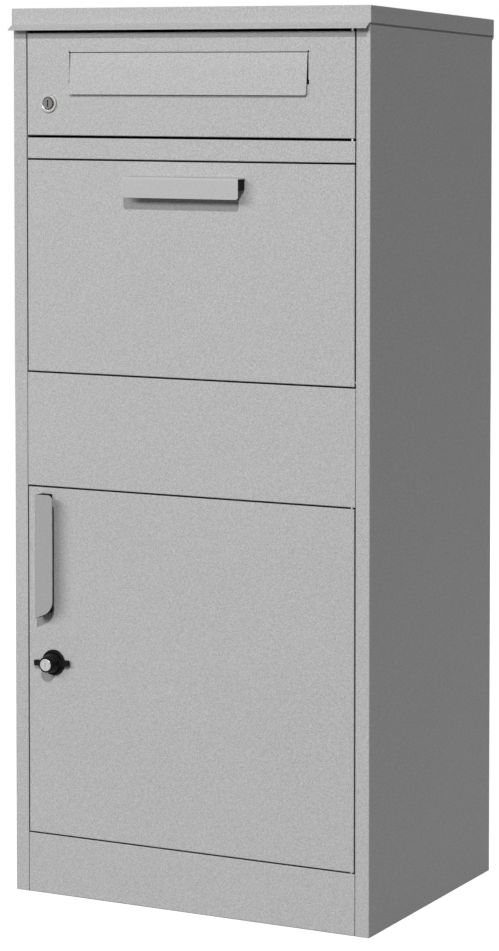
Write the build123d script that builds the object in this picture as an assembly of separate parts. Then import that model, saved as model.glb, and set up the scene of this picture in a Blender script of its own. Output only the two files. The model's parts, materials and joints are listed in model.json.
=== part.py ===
from build123d import *
import math
import os

# Parcel drop box of folded sheet steel. Millimetres, +Z up, the front looks along -Y.
# The origin is at the middle of the footprint, on the surface the box stands on.

# ---------------------------------------------------------------- driving dimensions
# Cabinet
body_width = 447.4
body_depth = 330.0
roof_fall = 11.0
sheet = 1.2
fold_radius = 1.0

# Front, stacked from the floor: panel heights and the gaps between them
plinth_height = 67.95
plinth_gap = 1.5
lower_door_height = 396.6
lower_door_gap = 1.75
middle_panel_height = 128.8
hopper_gap = 1.75
drop_door_height = 239.5
drop_door_gap = 1.8
rail_height = 23.4
rail_gap = 2.9
letter_door_height = 115.3
lid_gap = 2.7

# Front, across: stiles, gaps at the doors' edges, seams at the fixed panels
stile_width = 16.8
stile_depth = 18.0
lock_side_gap = 1.3
hinge_side_gap = 1.6
panel_seam = 0.4
rail_seam = 1.2
door_depth = 15.0

# Sheet folds
rear_flange_width = 14.0
top_flange_width = 15.0
top_flange_rear_gap = 40.0
floor_flange_height = 8.0
shelf_flange_height = 20.0
cover_flange_width = 12.0

# Lid
lid_flange_height = 19.0
lid_lip_drop = 6.0
lid_lip_reach = 10.0
lid_lip_thickness = 1.4
lid_rear_height = 25.0
lid_rear_corner = 5.0
lid_relief = 1.5
stud_diameter = 5.0
stud_length = 9.0
stud_inset = 60.0
nut_flats = 8.0
nut_height = 4.0

# Door pins and hopper pivots
pin_diameter = 3.5
pin_inset = 4.0
pin_setback = 3.5
pin_hold = 8.0
pin_reach = 6.0
pivot_diameter = 4.0
pivot_rise = 4.5
pivot_setback = 3.8
pivot_head_diameter = 8.0
pivot_head_height = 2.0

# Hopper
hopper_open_angle = 45.0
plate_slope = 30.0
plate_length = 248.0
plate_lip = 8.0
plate_flange_height = 15.0
cheek_inset = 10.0
cheek_radius = 225.0
cheek_sector = 45.0
cheek_end = 33.0
cheek_drop = 2.0
baffle_lip = 20.0

# Letter slot and flap
slot_width = 300.0
slot_height = 35.4
slot_top_drop = 21.8
slot_relief_radius = 1.1
slot_relief_width = 1.6
slot_relief_height = 5.0
flap_side_gap = 0.8
flap_top_gap = 0.4
flap_height = 47.3
flap_corner = 5.0
flap_rod_diameter = 2.4
flap_rod_overhang = 7.0
clip_width = 5.0
clip_height = 10.0
clip_depth = 6.0

# Letter lock
letter_lock_inset = 46.9
letter_lock_rise = 36.0
letter_lock_rim_diameter = 20.0
letter_lock_rim_height = 2.5
letter_lock_barrel_diameter = 16.0
letter_plug_diameter = 14.0
letter_plug_proud = 1.0
letter_cam_length = 38.0

# Lower lock with its wing knob
knob_inset = 51.1
knob_rise = 197.5
rosette_diameter = 29.0
rosette_height = 3.0
rosette_chamfer = 0.8
lower_lock_tail_diameter = 18.0
spindle_diameter = 10.0
spindle_socket_depth = 4.0
knob_base_diameter = 23.0
knob_tip_diameter = 17.4
knob_length = 15.8
wing_span = 46.0
wing_width = 7.2
wing_height = 4.6
wing_corner = 1.6
wing_rest_turn = 3.5
key_cylinder_diameter = 13.8
key_cylinder_length = 9.0
key_cylinder_proud = 0.5
knob_cam_length = 45.0

# Shared lock sizes
lock_tail_length = 20.0
lock_nut_margin = 4.0
lock_nut_height = 4.0
cam_width = 13.0
cam_thickness = 2.0
cam_screw_head_diameter = 7.0
cam_screw_head_height = 2.2
cam_screw_diameter = 4.0
cam_screw_depth = 8.0
keyway_width = 1.4
keyway_length = 8.0
keyway_depth = 4.0

# Handles
handle_length = 145.0
handle_width = 23.3
handle_standoff = 17.2
handle_corner = 6.0
handle_block_length = 9.0
handle_block_width = 12.2
handle_block_inset = 0.5
drop_handle_drop = 16.4
lower_handle_inset = 35.9
lower_handle_drop = 6.4
screw_head_diameter = 8.0
screw_head_height = 2.5
screw_diameter = 4.0
screw_depth = 12.0

# Door stops with rubber buffers
stop_width = 20.0
stop_height = 16.0
stop_thickness = 1.5
stop_overlap = 8.0
buffer_width = 6.0
buffer_height = 12.0
lower_stop_rises = (50.0, 330.0)
drop_stop_rise = 212.0
letter_stop_rise = 14.0

# Lower door stiffener
stiffener_width = 44.0
stiffener_foot = 10.0
stiffener_depth = 11.0
stiffener_end_gap = 24.0

# Fixing holes
wall_hole_diameter = 8.5
wall_hole_spacing_x = 300.0
wall_hole_spacing_z = 550.0
wall_hole_low = 350.0
floor_hole_diameter = 10.5
floor_hole_spacing_x = 300.0
floor_hole_spacing_y = 200.0

# Blind rivets
rivet_diameter = 3.2
rivet_head_diameter = 6.5
rivet_head_height = 1.2
rivet_tail_diameter = 4.6
rivet_tail_height = 1.5
rivet_setback = 10.0
rear_rivet_count = 5
rear_rivet_margin = 70.0
plate_rivet_places = (40.0, 110.0, 180.0)
plate_rivet_rise = 8.0

# Clearances
lap_gap = 0.1
buffer_gap = 0.3
running_fit = 0.06
hole_fit = 0.05
thread_fit = 0.05
swing_gap = 6.0
stop_gap = 1.0
cam_gap = 2.4
knob_gap = 0.3

# ---------------------------------------------------------------- places worked out from them
half_width = body_width / 2
front = -body_depth / 2
back = body_depth / 2
roof_angle = math.degrees(math.atan2(roof_fall, body_depth))


def stack(low, height):
    """Low and high level of a panel."""
    return (low, low + height)


plinth_z = stack(0, plinth_height)
lower_door_z = stack(plinth_z[1] + plinth_gap, lower_door_height)
middle_z = stack(lower_door_z[1] + lower_door_gap, middle_panel_height)
drop_door_z = stack(middle_z[1] + hopper_gap, drop_door_height)
rail_z = stack(drop_door_z[1] + drop_door_gap, rail_height)
letter_door_z = stack(rail_z[1] + rail_gap, letter_door_height)
lid_bottom = letter_door_z[1] + lid_gap
lid_flange_bottom = lid_bottom + lid_lip_drop
lid_top = lid_flange_bottom + lid_flange_height
body_top = lid_top - sheet - lap_gap

stile_edge = half_width - stile_width
door_x = (-stile_edge + lock_side_gap, stile_edge - hinge_side_gap)
inner_front = front + sheet
inner_face = inner_front + lap_gap
frame_back = front + stile_depth
door_back = front + door_depth
tray_x = (-half_width + sheet + lap_gap, half_width - sheet - lap_gap)
back_panel_y = (back - 2 * sheet - lap_gap, back - sheet - lap_gap)
tray_y = (frame_back + lap_gap, back_panel_y[0] - lap_gap)

pin_x = door_x[1] - pin_inset
pin_y = front + pin_setback
pivot_y = front + pivot_setback
pivot_z = drop_door_z[0] + pivot_rise


def roof_level(y, below=0.0):
    """Level of the cabinet's sloping top edge at a depth, less a distance."""
    return body_top - (y - front) * roof_fall / body_depth - below


roof_plane = Plane(
    origin=(0, front, body_top),
    x_dir=(1, 0, 0),
    z_dir=(0, math.sin(math.radians(roof_angle)), math.cos(math.radians(roof_angle))),
)


# ---------------------------------------------------------------- shared shapes
def block(x, y, z):
    """Box between a low and a high value on each axis."""
    centre = ((x[0] + x[1]) / 2, (y[0] + y[1]) / 2, (z[0] + z[1]) / 2)
    return Pos(*centre) * Box(x[1] - x[0], y[1] - y[0], z[1] - z[0])


def side_profile(points, x):
    """Outline in depth and height, extruded across from x[0] to x[1]."""
    outline = make_face(Polyline(*points, close=True))
    return extrude(Plane.YZ.offset(x[0]) * outline, x[1] - x[0])


def group(shapes):
    """Separate solids kept together as one named piece."""
    return Compound(children=[solid for shape in shapes for solid in shape.solids()])


def rod(start, direction, diameter, length):
    """Cylinder from a point along a direction."""
    return Plane(origin=start, z_dir=direction) * Cylinder(
        diameter / 2, length, align=(Align.CENTER, Align.CENTER, Align.MIN)
    )


def hexagon_nut(start, direction, flats, height, bore):
    """Hexagon nut from a point along a direction."""
    outline = RegularPolygon(flats / 2, 6, major_radius=False)
    nut = extrude(outline, height) - Pos(0, 0, height / 2) * Cylinder(bore / 2, 2 * height)
    return Plane(origin=start, z_dir=direction) * nut


def edges_through(shape, axis, places):
    """Straight edges along an axis whose middle lies at one of the places on the other two axes."""
    found = []
    for edge in shape.edges().filter_by(axis):
        middle = edge.center()
        spot = {"X": (middle.Y, middle.Z), "Y": (middle.X, middle.Z), "Z": (middle.X, middle.Y)}
        here = spot["XYZ"[(Axis.X, Axis.Y, Axis.Z).index(axis)]]
        if any(math.dist(here, place) < 0.01 for place in places):
            found.append(edge)
    return found


def pan(x, z, depth):
    """Front panel with all four edges folded back."""
    outer = block(x, (front, front + depth), z)
    front_face = outer.faces().sort_by(Axis.Y)[0]
    outer = fillet(front_face.edges(), fold_radius)
    inner_x = (x[0] + sheet, x[1] - sheet)
    inner_z = (z[0] + sheet, z[1] - sheet)
    return outer - block(inner_x, (inner_front, front + depth + sheet), inner_z)


def tray(z_floor, flange_height):
    """Floor sheet over the cabinet's inside, with all four edges folded up."""
    outer = block(tray_x, tray_y, (z_floor, z_floor + flange_height))
    inner_x = (tray_x[0] + sheet, tray_x[1] - sheet)
    inner_y = (tray_y[0] + sheet, tray_y[1] - sheet)
    return outer - block(inner_x, inner_y, (z_floor + sheet, z_floor + 2 * flange_height))


def rivet(place, direction, grip):
    """Blind rivet: its head lies on the outer sheet at the place, its shank goes the other way."""
    head = Cylinder(
        rivet_head_diameter / 2, rivet_head_height, align=(Align.CENTER, Align.CENTER, Align.MIN)
    )
    head = fillet(head.edges().filter_by(GeomType.CIRCLE).sort_by(Axis.Z)[-1], rivet_head_height * 0.8)
    shank = Pos(0, 0, -grip / 2) * Cylinder(rivet_diameter / 2, grip)
    tail = Pos(0, 0, -grip - rivet_tail_height / 2) * Cylinder(
        rivet_tail_diameter / 2, rivet_tail_height
    )
    return Plane(origin=place, z_dir=direction) * (head + shank + tail)


def rivet_hole(place, direction, grip):
    """Hole for a rivet through both sheets."""
    far = 2 * grip
    start = tuple(place[i] - direction[i] * far for i in range(3))
    return rod(start, direction, rivet_diameter + 2 * hole_fit, 2 * far)


# ---------------------------------------------------------------- rivet and screw places
def rear_rivet_sites():
    """Rivets that hold the back panel to the rear flanges: (place, direction, grip)."""
    x = half_width - rear_flange_width / 2
    top = roof_level(back) - rear_rivet_margin
    step = (top - rear_rivet_margin) / (rear_rivet_count - 1)
    levels = [rear_rivet_margin + step * i for i in range(rear_rivet_count)]
    grip = 2 * sheet + lap_gap
    return [((side * x, back, z), (0, 1, 0), grip) for side in (-1, 1) for z in levels]


def panel_rivet_sites():
    """Rivets that hold the fixed front panels to the stiles' returns, heads inside the panels."""
    wide = middle_panel_height / 4
    rows = [
        (plinth_z[0] + plinth_height / 2, panel_seam),
        (middle_z[0] + wide, panel_seam),
        (middle_z[1] - wide, panel_seam),
        (rail_z[0] + rail_height / 2, rail_seam),
        (lid_flange_bottom + lid_flange_height / 3, panel_seam),
    ]
    sites = []
    for level, seam in rows:
        for side in (-1, 1):
            x = side * (stile_edge - seam - sheet)
            sites.append(((x, front + rivet_setback, level), (-side, 0, 0), 2 * sheet + seam))
    return sites


def stud_places():
    """Lid studs, in the roof's own plane: (x, distance back)."""
    x = half_width - (top_flange_width + sheet) / 2
    far = body_depth - stud_inset
    return [(side * x, y) for side in (-1, 1) for y in (stud_inset, far)]


# ---------------------------------------------------------------- cabinet
def side_panel(side):
    """Side wall with its front stile, rear flange and top flange, in one folded sheet."""
    wall_x = (half_width - sheet, half_width)
    wall = side_profile(
        [(front, 0), (back, 0), (back, roof_level(back)), (front, body_top)], wall_x
    )
    stile = block((stile_edge, half_width), (front, inner_front), (0, body_top - sheet))
    stile_return = block((stile_edge, stile_edge + sheet), (front, frame_back), (0, body_top - sheet))
    rear_x = (half_width - rear_flange_width, half_width)
    rear_flange = block(rear_x, (back - sheet, back), (0, roof_level(back)))
    top_y = (stile_depth + sheet, body_depth - top_flange_rear_gap)
    top_flange = roof_plane * block((half_width - top_flange_width, half_width), top_y, (-sheet, 0))
    panel = wall + stile + stile_return + rear_flange + top_flange
    folds = [(half_width, front), (stile_edge, front), (half_width, back)]
    panel = fillet(edges_through(panel, Axis.Z, folds), fold_radius)
    pivot_hole = rod(
        (stile_edge - sheet, pivot_y, pivot_z), (1, 0, 0), pivot_diameter + 2 * hole_fit, 3 * sheet
    )
    panel -= pivot_hole
    for place, direction, grip in rear_rivet_sites() + panel_rivet_sites():
        if place[0] > 0:
            panel -= rivet_hole(place, direction, grip)
    for x, y in stud_places():
        if x > 0:
            hole = Pos(x, y, 0) * Cylinder(stud_diameter / 2 + 4 * hole_fit, 4 * sheet)
            panel -= roof_plane * hole
    if side < 0:
        panel = mirror(panel, about=Plane.YZ)
    return panel


def back_panel():
    """Flat back sheet inside the rear flanges, with the four wall fixing holes."""
    x = (-half_width + sheet + lap_gap, half_width - sheet - lap_gap)
    panel = block(x, back_panel_y, (0, roof_level(back_panel_y[1], sheet + lap_gap)))
    for place, direction, grip in rear_rivet_sites():
        panel -= rivet_hole(place, direction, grip)
    for x_side in (-1, 1):
        for level in (wall_hole_low, wall_hole_low + wall_hole_spacing_z):
            place = (x_side * wall_hole_spacing_x / 2, back_panel_y[0] - sheet, level)
            panel -= rod(place, (0, 1, 0), wall_hole_diameter, 3 * sheet)
    return panel


def bottom_panel():
    """Floor tray with the four floor fixing holes."""
    panel = tray(0, floor_flange_height)
    for x_side in (-1, 1):
        for y_side in (-1, 1):
            place = (x_side * floor_hole_spacing_x / 2, y_side * floor_hole_spacing_y / 2, -sheet)
            panel -= rod(place, (0, 0, 1), floor_hole_diameter, 3 * sheet)
    return panel


def fixed_panel(z, seam):
    """Front panel fixed between the stiles."""
    panel = pan((-stile_edge + seam, stile_edge - seam), z, stile_depth)
    for place, direction, grip in panel_rivet_sites():
        if z[0] < place[2] < z[1]:
            panel -= rivet_hole(place, direction, grip)
    return panel


def pin_hole(level):
    """Hole for a fixed door pin through a wall at a level."""
    return rod((pin_x, pin_y, level - 2 * sheet), (0, 0, 1), pin_diameter + 2 * hole_fit, 4 * sheet)


def header_z():
    """Levels of the header rail, up under the sloping lid."""
    return (lid_bottom + panel_seam, roof_level(frame_back, lap_gap))


def letter_shelf():
    """Floor of the letter compartment, level with the rail's lower wall."""
    return tray(rail_z[0], shelf_flange_height)


def baffle_y():
    """Depth of the baffle, clear of the swinging hopper plate."""
    return pivot_y + math.hypot(plate_length, plate_lip) + swing_gap


def baffle_lip_z():
    """Underside of the baffle's lip, where it stops the open hopper."""
    end = plate_plane.from_local_coords((0, plate_run(), 0))
    rest_angle = math.atan2(end.Z - pivot_z, end.Y - pivot_y)
    open_angle = rest_angle + math.radians(hopper_open_angle)
    return pivot_z + plate_length * math.sin(open_angle) + stop_gap


def hopper_baffle():
    """Sheet that closes the way over the open hopper, hung under the letter shelf."""
    y = (baffle_y(), baffle_y() + sheet)
    z = (baffle_lip_z(), rail_z[0] - lap_gap)
    web = block(tray_x, y, z)
    top = block(tray_x, (y[0], y[0] + cover_flange_width), (z[1] - sheet, z[1]))
    lip = block(tray_x, (y[0] - baffle_lip, y[1]), (z[0], z[0] + sheet))
    baffle = web + top + lip
    for wall in ((tray_x[0], tray_x[0] + sheet), (tray_x[1] - sheet, tray_x[1])):
        baffle += block(wall, (y[0], y[0] + cover_flange_width), z)
    return baffle


def lid_outline():
    """Lid in depth and height: front flange, sloping top, rear flange, shallow side flanges."""
    y = (front - lap_gap - sheet, back + lap_gap + sheet)
    strip = sheet + lid_relief
    top = [roof_level(place, -sheet - lap_gap) for place in y]
    rear_bottom = top[1] - lid_rear_height
    return [
        (y[0], lid_flange_bottom),
        (y[0], top[0]),
        (y[1], top[1]),
        (y[1], rear_bottom),
        (y[1] - strip, rear_bottom),
        (y[1] - strip, roof_level(y[1] - strip, lid_flange_height - sheet - lap_gap)),
        (y[0] + strip, roof_level(y[0] + strip, lid_flange_height - sheet - lap_gap)),
        (y[0] + strip, lid_flange_bottom),
    ]


def lid():
    """Roof cap: sloping top, folded edges all round, drip lip at the front, studs inside."""
    corner = half_width + lap_gap + sheet
    outline = lid_outline()
    outer = side_profile(outline, (-corner, corner))
    rear_bottom = outline[3][1]
    rear_corners = [
        edge for edge in edges_through(outer, Axis.Y, [(-corner, rear_bottom), (corner, rear_bottom)])
        if edge.center().Y > 0
    ]
    outer = fillet(rear_corners, lid_rear_corner)
    outer = fillet(outer.faces().sort_by(Axis.Z)[-1].edges(), fold_radius)
    inside = [
        (front - lap_gap, 0),
        (front - lap_gap, roof_level(front - lap_gap, -lap_gap)),
        (back + lap_gap, roof_level(back + lap_gap, -lap_gap)),
        (back + lap_gap, 0),
    ]
    cap = outer - side_profile(inside, (-half_width - lap_gap, half_width + lap_gap))
    y_out = front - lap_gap - sheet
    lip_points = [
        (front - lap_gap, lid_flange_bottom + lid_lip_thickness),
        (front - lap_gap, lid_flange_bottom),
        (y_out - lid_lip_reach, lid_bottom),
        (y_out - lid_lip_reach, lid_bottom + lid_lip_thickness),
        (y_out, lid_flange_bottom + lid_lip_thickness),
    ]
    lip_reach = corner - fold_radius
    cap += side_profile(lip_points, (-lip_reach, lip_reach))
    for x, y in stud_places():
        length = stud_length + sheet + lap_gap
        stud = Pos(x, y, lap_gap + sheet / 2 - length / 2) * Cylinder(stud_diameter / 2, length)
        cap += roof_plane * stud
    return cap


def lid_nuts():
    """Nuts on the lid's studs, under the side panels' top flanges."""
    nuts = []
    for x, y in stud_places():
        nut = hexagon_nut(
            (x, y, -sheet - nut_height), (0, 0, 1), nut_flats, nut_height,
            stud_diameter + 2 * thread_fit,
        )
        nuts.append(roof_plane * nut)
    return group(nuts)


def door_pins():
    """Pins that carry the two side-hung doors, at the top and bottom of each."""
    spans = [
        (plinth_z[1] - pin_hold, lower_door_z[0] + pin_reach),
        (lower_door_z[1] - pin_reach, middle_z[0] + pin_hold),
        (rail_z[1] - pin_hold, letter_door_z[0] + pin_reach),
        (letter_door_z[1] - pin_reach, header_z()[0] + pin_hold),
    ]
    pins = [rod((pin_x, pin_y, low), (0, 0, 1), pin_diameter, high - low) for low, high in spans]
    return group(pins)


def hopper_pivots():
    """Headed pins through the stiles' returns into the drop door's side walls."""
    pivots = []
    for side, edge in ((-1, -door_x[0]), (1, door_x[1])):
        outer = stile_edge + sheet
        inner = edge - pin_reach
        shank = rod((side * inner, pivot_y, pivot_z), (side, 0, 0), pivot_diameter, outer - inner)
        head = rod(
            (side * outer, pivot_y, pivot_z), (side, 0, 0), pivot_head_diameter, pivot_head_height
        )
        limit = block((-body_width, body_width), (inner_face, frame_back), drop_door_z)
        pivots.append(shank + (head & limit))
    return group(pivots)


def stop_sites():
    """Door stops: (side, level of the middle)."""
    sites = [(-1, lower_door_z[0] + rise) for rise in lower_stop_rises]
    sites += [(-1, letter_door_z[0] + letter_stop_rise)]
    sites += [(side, drop_door_z[0] + drop_stop_rise) for side in (-1, 1)]
    return sites


def door_stops():
    """Tabs welded behind the stiles' returns, reaching in behind the doors' edges."""
    tabs = []
    for side, level in stop_sites():
        door_edge = -door_x[0] if side < 0 else door_x[1]
        x = sorted((side * (door_edge - stop_overlap), side * (door_edge - stop_overlap + stop_width)))
        y = (frame_back, frame_back + stop_thickness)
        tabs.append(block(x, y, (level - stop_height / 2, level + stop_height / 2)))
    return group(tabs)


def door_buffers():
    """Rubber pads between the stop tabs and the closed doors."""
    pads = []
    for side, level in stop_sites():
        door_edge = -door_x[0] if side < 0 else door_x[1]
        near = door_edge - stop_overlap
        x = sorted((side * near, side * (near + buffer_width)))
        y = (door_back + buffer_gap, frame_back)
        pads.append(block(x, y, (level - buffer_height / 2, level + buffer_height / 2)))
    return group(pads)


def cabinet_parts():
    """Everything that stays still."""
    plinth = fixed_panel(plinth_z, panel_seam) - pin_hole(plinth_z[1])
    middle = fixed_panel(middle_z, panel_seam) - pin_hole(middle_z[0])
    rail = fixed_panel(rail_z, rail_seam) - pin_hole(rail_z[1])
    header = fixed_panel(header_z(), panel_seam) - pin_hole(header_z()[0])
    return {
        "left_side_panel": side_panel(-1),
        "right_side_panel": side_panel(1),
        "back_panel": back_panel(),
        "bottom_panel": bottom_panel(),
        "plinth_panel": plinth,
        "middle_panel": middle,
        "upper_rail": rail,
        "header_rail": header,
        "letter_shelf": letter_shelf(),
        "hopper_baffle": hopper_baffle(),
        "lid": lid(),
        "lid_nuts": lid_nuts(),
        "door_pins": door_pins(),
        "hopper_pivots": hopper_pivots(),
        "door_stops": door_stops(),
        "door_buffers": door_buffers(),
        "rear_rivets": group([rivet(*site) for site in rear_rivet_sites()]),
        "panel_rivets": group([rivet(*site) for site in panel_rivet_sites()]),
    }


# ---------------------------------------------------------------- handles
def handle_shapes():
    """Bent-sheet handle with end blocks and screws, in its own frame.

    Local X runs along it, Y across the plate from the web's outer face, Z out of the door's face.
    """
    x = (-handle_length / 2, handle_length / 2)
    outer = block(x, (0, handle_width), (0, handle_standoff))
    inner = block(
        (2 * x[0], 2 * x[1]), (sheet, 2 * handle_width), (-handle_standoff, handle_standoff - sheet)
    )
    grip = outer - inner
    free_corners = edges_through(grip, Axis.Z, [(x[0], handle_width), (x[1], handle_width)])
    grip = fillet(free_corners, handle_corner)
    grip = fillet(edges_through(grip, Axis.X, [(0, handle_standoff)]), fold_radius)
    end = handle_length / 2 - handle_block_inset
    centre_x = end - handle_block_length / 2
    block_y = (sheet + lap_gap, sheet + lap_gap + handle_block_width)
    centre_y = (block_y[0] + block_y[1]) / 2
    blocks = []
    screws = []
    holes = []
    for side in (-1, 1):
        block_x = sorted((side * end, side * (end - handle_block_length)))
        screw_start = (side * centre_x, centre_y, -sheet)
        shank = rod(screw_start, (0, 0, 1), screw_diameter, sheet + screw_depth)
        head = rod(screw_start, (0, 0, -1), screw_head_diameter, screw_head_height)
        hole = rod(
            (side * centre_x, centre_y, -3 * sheet), (0, 0, 1), screw_diameter + 2 * hole_fit,
            3 * sheet + screw_depth + hole_fit,
        )
        body = block(block_x, block_y, (0, handle_standoff - sheet - lap_gap))
        blocks.append(body - hole)
        screws.append(shank + head)
        holes.append(hole)
    return {"grip": grip, "blocks": group(blocks), "screws": group(screws), "holes": holes}


drop_handle_plane = Plane(
    origin=((door_x[0] + door_x[1]) / 2, front, drop_door_z[1] - drop_handle_drop),
    x_dir=(-1, 0, 0),
    z_dir=(0, -1, 0),
)
lower_handle_plane = Plane(
    origin=(
        -half_width + lower_handle_inset,
        front,
        lower_door_z[1] - lower_handle_drop - handle_length / 2,
    ),
    x_dir=(0, 0, -1),
    z_dir=(0, -1, 0),
)


# ---------------------------------------------------------------- hopper
cheek_x = (
    (door_x[0] + cheek_inset, door_x[0] + cheek_inset + sheet),
    (door_x[1] - cheek_inset - sheet, door_x[1] - cheek_inset),
)
plate_x = (cheek_x[0][1] + lap_gap, cheek_x[1][0] - lap_gap)
slope = math.radians(plate_slope)
plate_start_y = inner_face + sheet
# the sloping plate just clears the rear edge of the drop door's lower wall
plate_start_z = (
    drop_door_z[0] + sheet + lap_gap
    + (door_back - plate_start_y) * math.tan(slope)
    + sheet / math.cos(slope)
)
plate_plane = Plane(
    origin=(0, plate_start_y, plate_start_z),
    x_dir=(1, 0, 0),
    z_dir=(0, math.sin(slope), math.cos(slope)),
)


def plate_run():
    """Length of the plate from its front fold to its end, so that its end swings at plate_length."""
    along = ((plate_start_y - pivot_y) * math.cos(slope) - (plate_start_z - pivot_z) * math.sin(slope))
    across = ((plate_start_y - pivot_y) * math.sin(slope) + (plate_start_z - pivot_z) * math.cos(slope))
    return math.sqrt(plate_length ** 2 - across ** 2) - along


def plate_rivet_sites():
    """Rivets through the plate's side flanges and the cheeks, heads inside the hopper."""
    sites = []
    for side, x in ((-1, plate_x[0] + sheet), (1, plate_x[1] - sheet)):
        for place in plate_rivet_places:
            spot = plate_plane.from_local_coords((x, place, plate_rivet_rise))
            sites.append(((spot.X, spot.Y, spot.Z), (-side, 0, 0), 2 * sheet + lap_gap))
    return sites


def hopper_plate():
    """Sloping floor of the hopper, with side flanges, an end lip and a flange on the door."""
    run = plate_run()
    flange_end = run - cheek_end
    floor = block(plate_x, (0, run), (-sheet, 0))
    lip = block(plate_x, (run - sheet, run), (-plate_lip, 0))
    local = floor + lip
    for wall in ((plate_x[0], plate_x[0] + sheet), (plate_x[1] - sheet, plate_x[1])):
        local += block(wall, (0, flange_end), (-sheet, plate_flange_height))
    plate = plate_plane * local
    margin = cover_flange_width + sheet + lap_gap
    flange_x = (plate_x[0] + margin, plate_x[1] - margin)
    flange_z = (plate_start_z - sheet / math.cos(slope), plate_start_z + plate_flange_height)
    plate += block(flange_x, (inner_face, plate_start_y + sheet / 2), flange_z) - block(
        flange_x, (plate_start_y, plate_start_y + sheet), (plate_start_z, 2 * plate_start_z)
    )
    for place, direction, grip in plate_rivet_sites():
        plate -= rivet_hole(place, direction, grip)
    return plate


def hopper_cheek(side):
    """Side of the hopper: a sector behind the door, cut back to the plate, with a door flange."""
    x = cheek_x[0] if side < 0 else cheek_x[1]
    start_angle = math.degrees(math.acos((inner_face - pivot_y) / cheek_radius))
    centre = (pivot_y, pivot_z)
    arc = CenterArc(centre, cheek_radius, cheek_sector, start_angle - cheek_sector)
    low_front = (inner_face, plate_start_z + cheek_drop)
    high_front = arc @ 1
    end = plate_plane.from_local_coords((0, plate_run() - cheek_end, -sheet))
    near = plate_plane.from_local_coords((0, sheet, 0))
    outline = make_face([
        arc,
        Polyline((high_front.X, high_front.Y), low_front, (near.Y, near.Z), (end.Y, end.Z),
                 ((arc @ 0).X, (arc @ 0).Y)),
    ])
    cheek = extrude(Plane.YZ.offset(x[0]) * outline, sheet)
    inward = (x[0], x[0] + cover_flange_width) if side < 0 else (x[1] - cover_flange_width, x[1])
    flange_z = (low_front[1] + plate_flange_height, high_front.Y - sheet)
    cheek += block(inward, (inner_face, inner_face + sheet), flange_z)
    for place, direction, grip in plate_rivet_sites():
        if place[0] * side > 0:
            cheek -= rivet_hole(place, direction, grip)
    return cheek


def drop_door():
    """Front of the hopper, with holes for the pivots and the handle's screws."""
    door = pan(door_x, drop_door_z, door_depth)
    door -= rod(
        (door_x[0] - sheet, pivot_y, pivot_z), (1, 0, 0), pivot_diameter + 2 * running_fit,
        door_x[1] - door_x[0] + 2 * sheet,
    )
    for hole in handle_shapes()["holes"]:
        door -= drop_handle_plane * hole
    return door


def hopper_parts():
    """Everything that swings out with the drop door."""
    handle = handle_shapes()
    return {
        "drop_door": drop_door(),
        "hopper_plate": hopper_plate(),
        "left_hopper_cheek": hopper_cheek(-1),
        "right_hopper_cheek": hopper_cheek(1),
        "drop_handle": drop_handle_plane * handle["grip"],
        "drop_handle_blocks": drop_handle_plane * handle["blocks"],
        "drop_handle_screws": drop_handle_plane * handle["screws"],
        "hopper_rivets": group([rivet(*site) for site in plate_rivet_sites()]),
    }


# ---------------------------------------------------------------- locks
def lock_nut(place, tail_diameter):
    """Hexagon nut behind the door sheet on a lock's threaded tail."""
    flats = tail_diameter + 2 * lock_nut_margin
    start = (place[0], inner_front, place[1])
    return hexagon_nut(start, (0, 1, 0), flats, lock_nut_height, tail_diameter + 2 * thread_fit)


cam_y = (frame_back + cam_gap, frame_back + cam_gap + cam_thickness)


def lock_cam(place, length, up):
    """Flat cam with a round end about the lock's axis, standing up or hanging down."""
    reach = up * (length - cam_width / 2)
    bar = block(
        (place[0] - cam_width / 2, place[0] + cam_width / 2), cam_y,
        sorted((place[1], place[1] + reach)),
    )
    ends = [
        rod((place[0], cam_y[0], place[1] + offset), (0, 1, 0), cam_width, cam_thickness)
        for offset in (0, reach)
    ]
    hole = rod(
        (place[0], cam_y[0] - sheet, place[1]), (0, 1, 0), cam_screw_diameter + 2 * hole_fit,
        cam_thickness + 2 * sheet,
    )
    return bar + ends[0] + ends[1] - hole


def cam_screw(place):
    """Screw that holds a cam on the end of its plug or spindle."""
    shank_start = (place[0], cam_y[0] - cam_screw_depth, place[1])
    shank = rod(shank_start, (0, 1, 0), cam_screw_diameter, cam_screw_depth + cam_thickness)
    head_start = (place[0], cam_y[1], place[1])
    return shank + rod(head_start, (0, 1, 0), cam_screw_head_diameter, cam_screw_head_height)


def screw_socket(place):
    """Blind hole for a cam screw."""
    start = (place[0], cam_y[0] - cam_screw_depth - hole_fit, place[1])
    return rod(start, (0, 1, 0), cam_screw_diameter + 2 * hole_fit, cam_screw_depth + sheet)


def keyway(place, face_y):
    """Upright key slot in a face that looks forward."""
    x = (place[0] - keyway_width / 2, place[0] + keyway_width / 2)
    z = (place[1] - keyway_length / 2, place[1] + keyway_length / 2)
    return block(x, (face_y - keyway_depth, face_y + keyway_depth), z)


letter_lock_place = (-half_width + letter_lock_inset, letter_door_z[0] + letter_lock_rise)
knob_place = (-half_width + knob_inset, lower_door_z[0] + knob_rise)


def lock_axis_rod(place, y, diameter):
    """Cylinder on a lock's axis between two depths."""
    return rod((place[0], y[0], place[1]), (0, 1, 0), diameter, y[1] - y[0])


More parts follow.
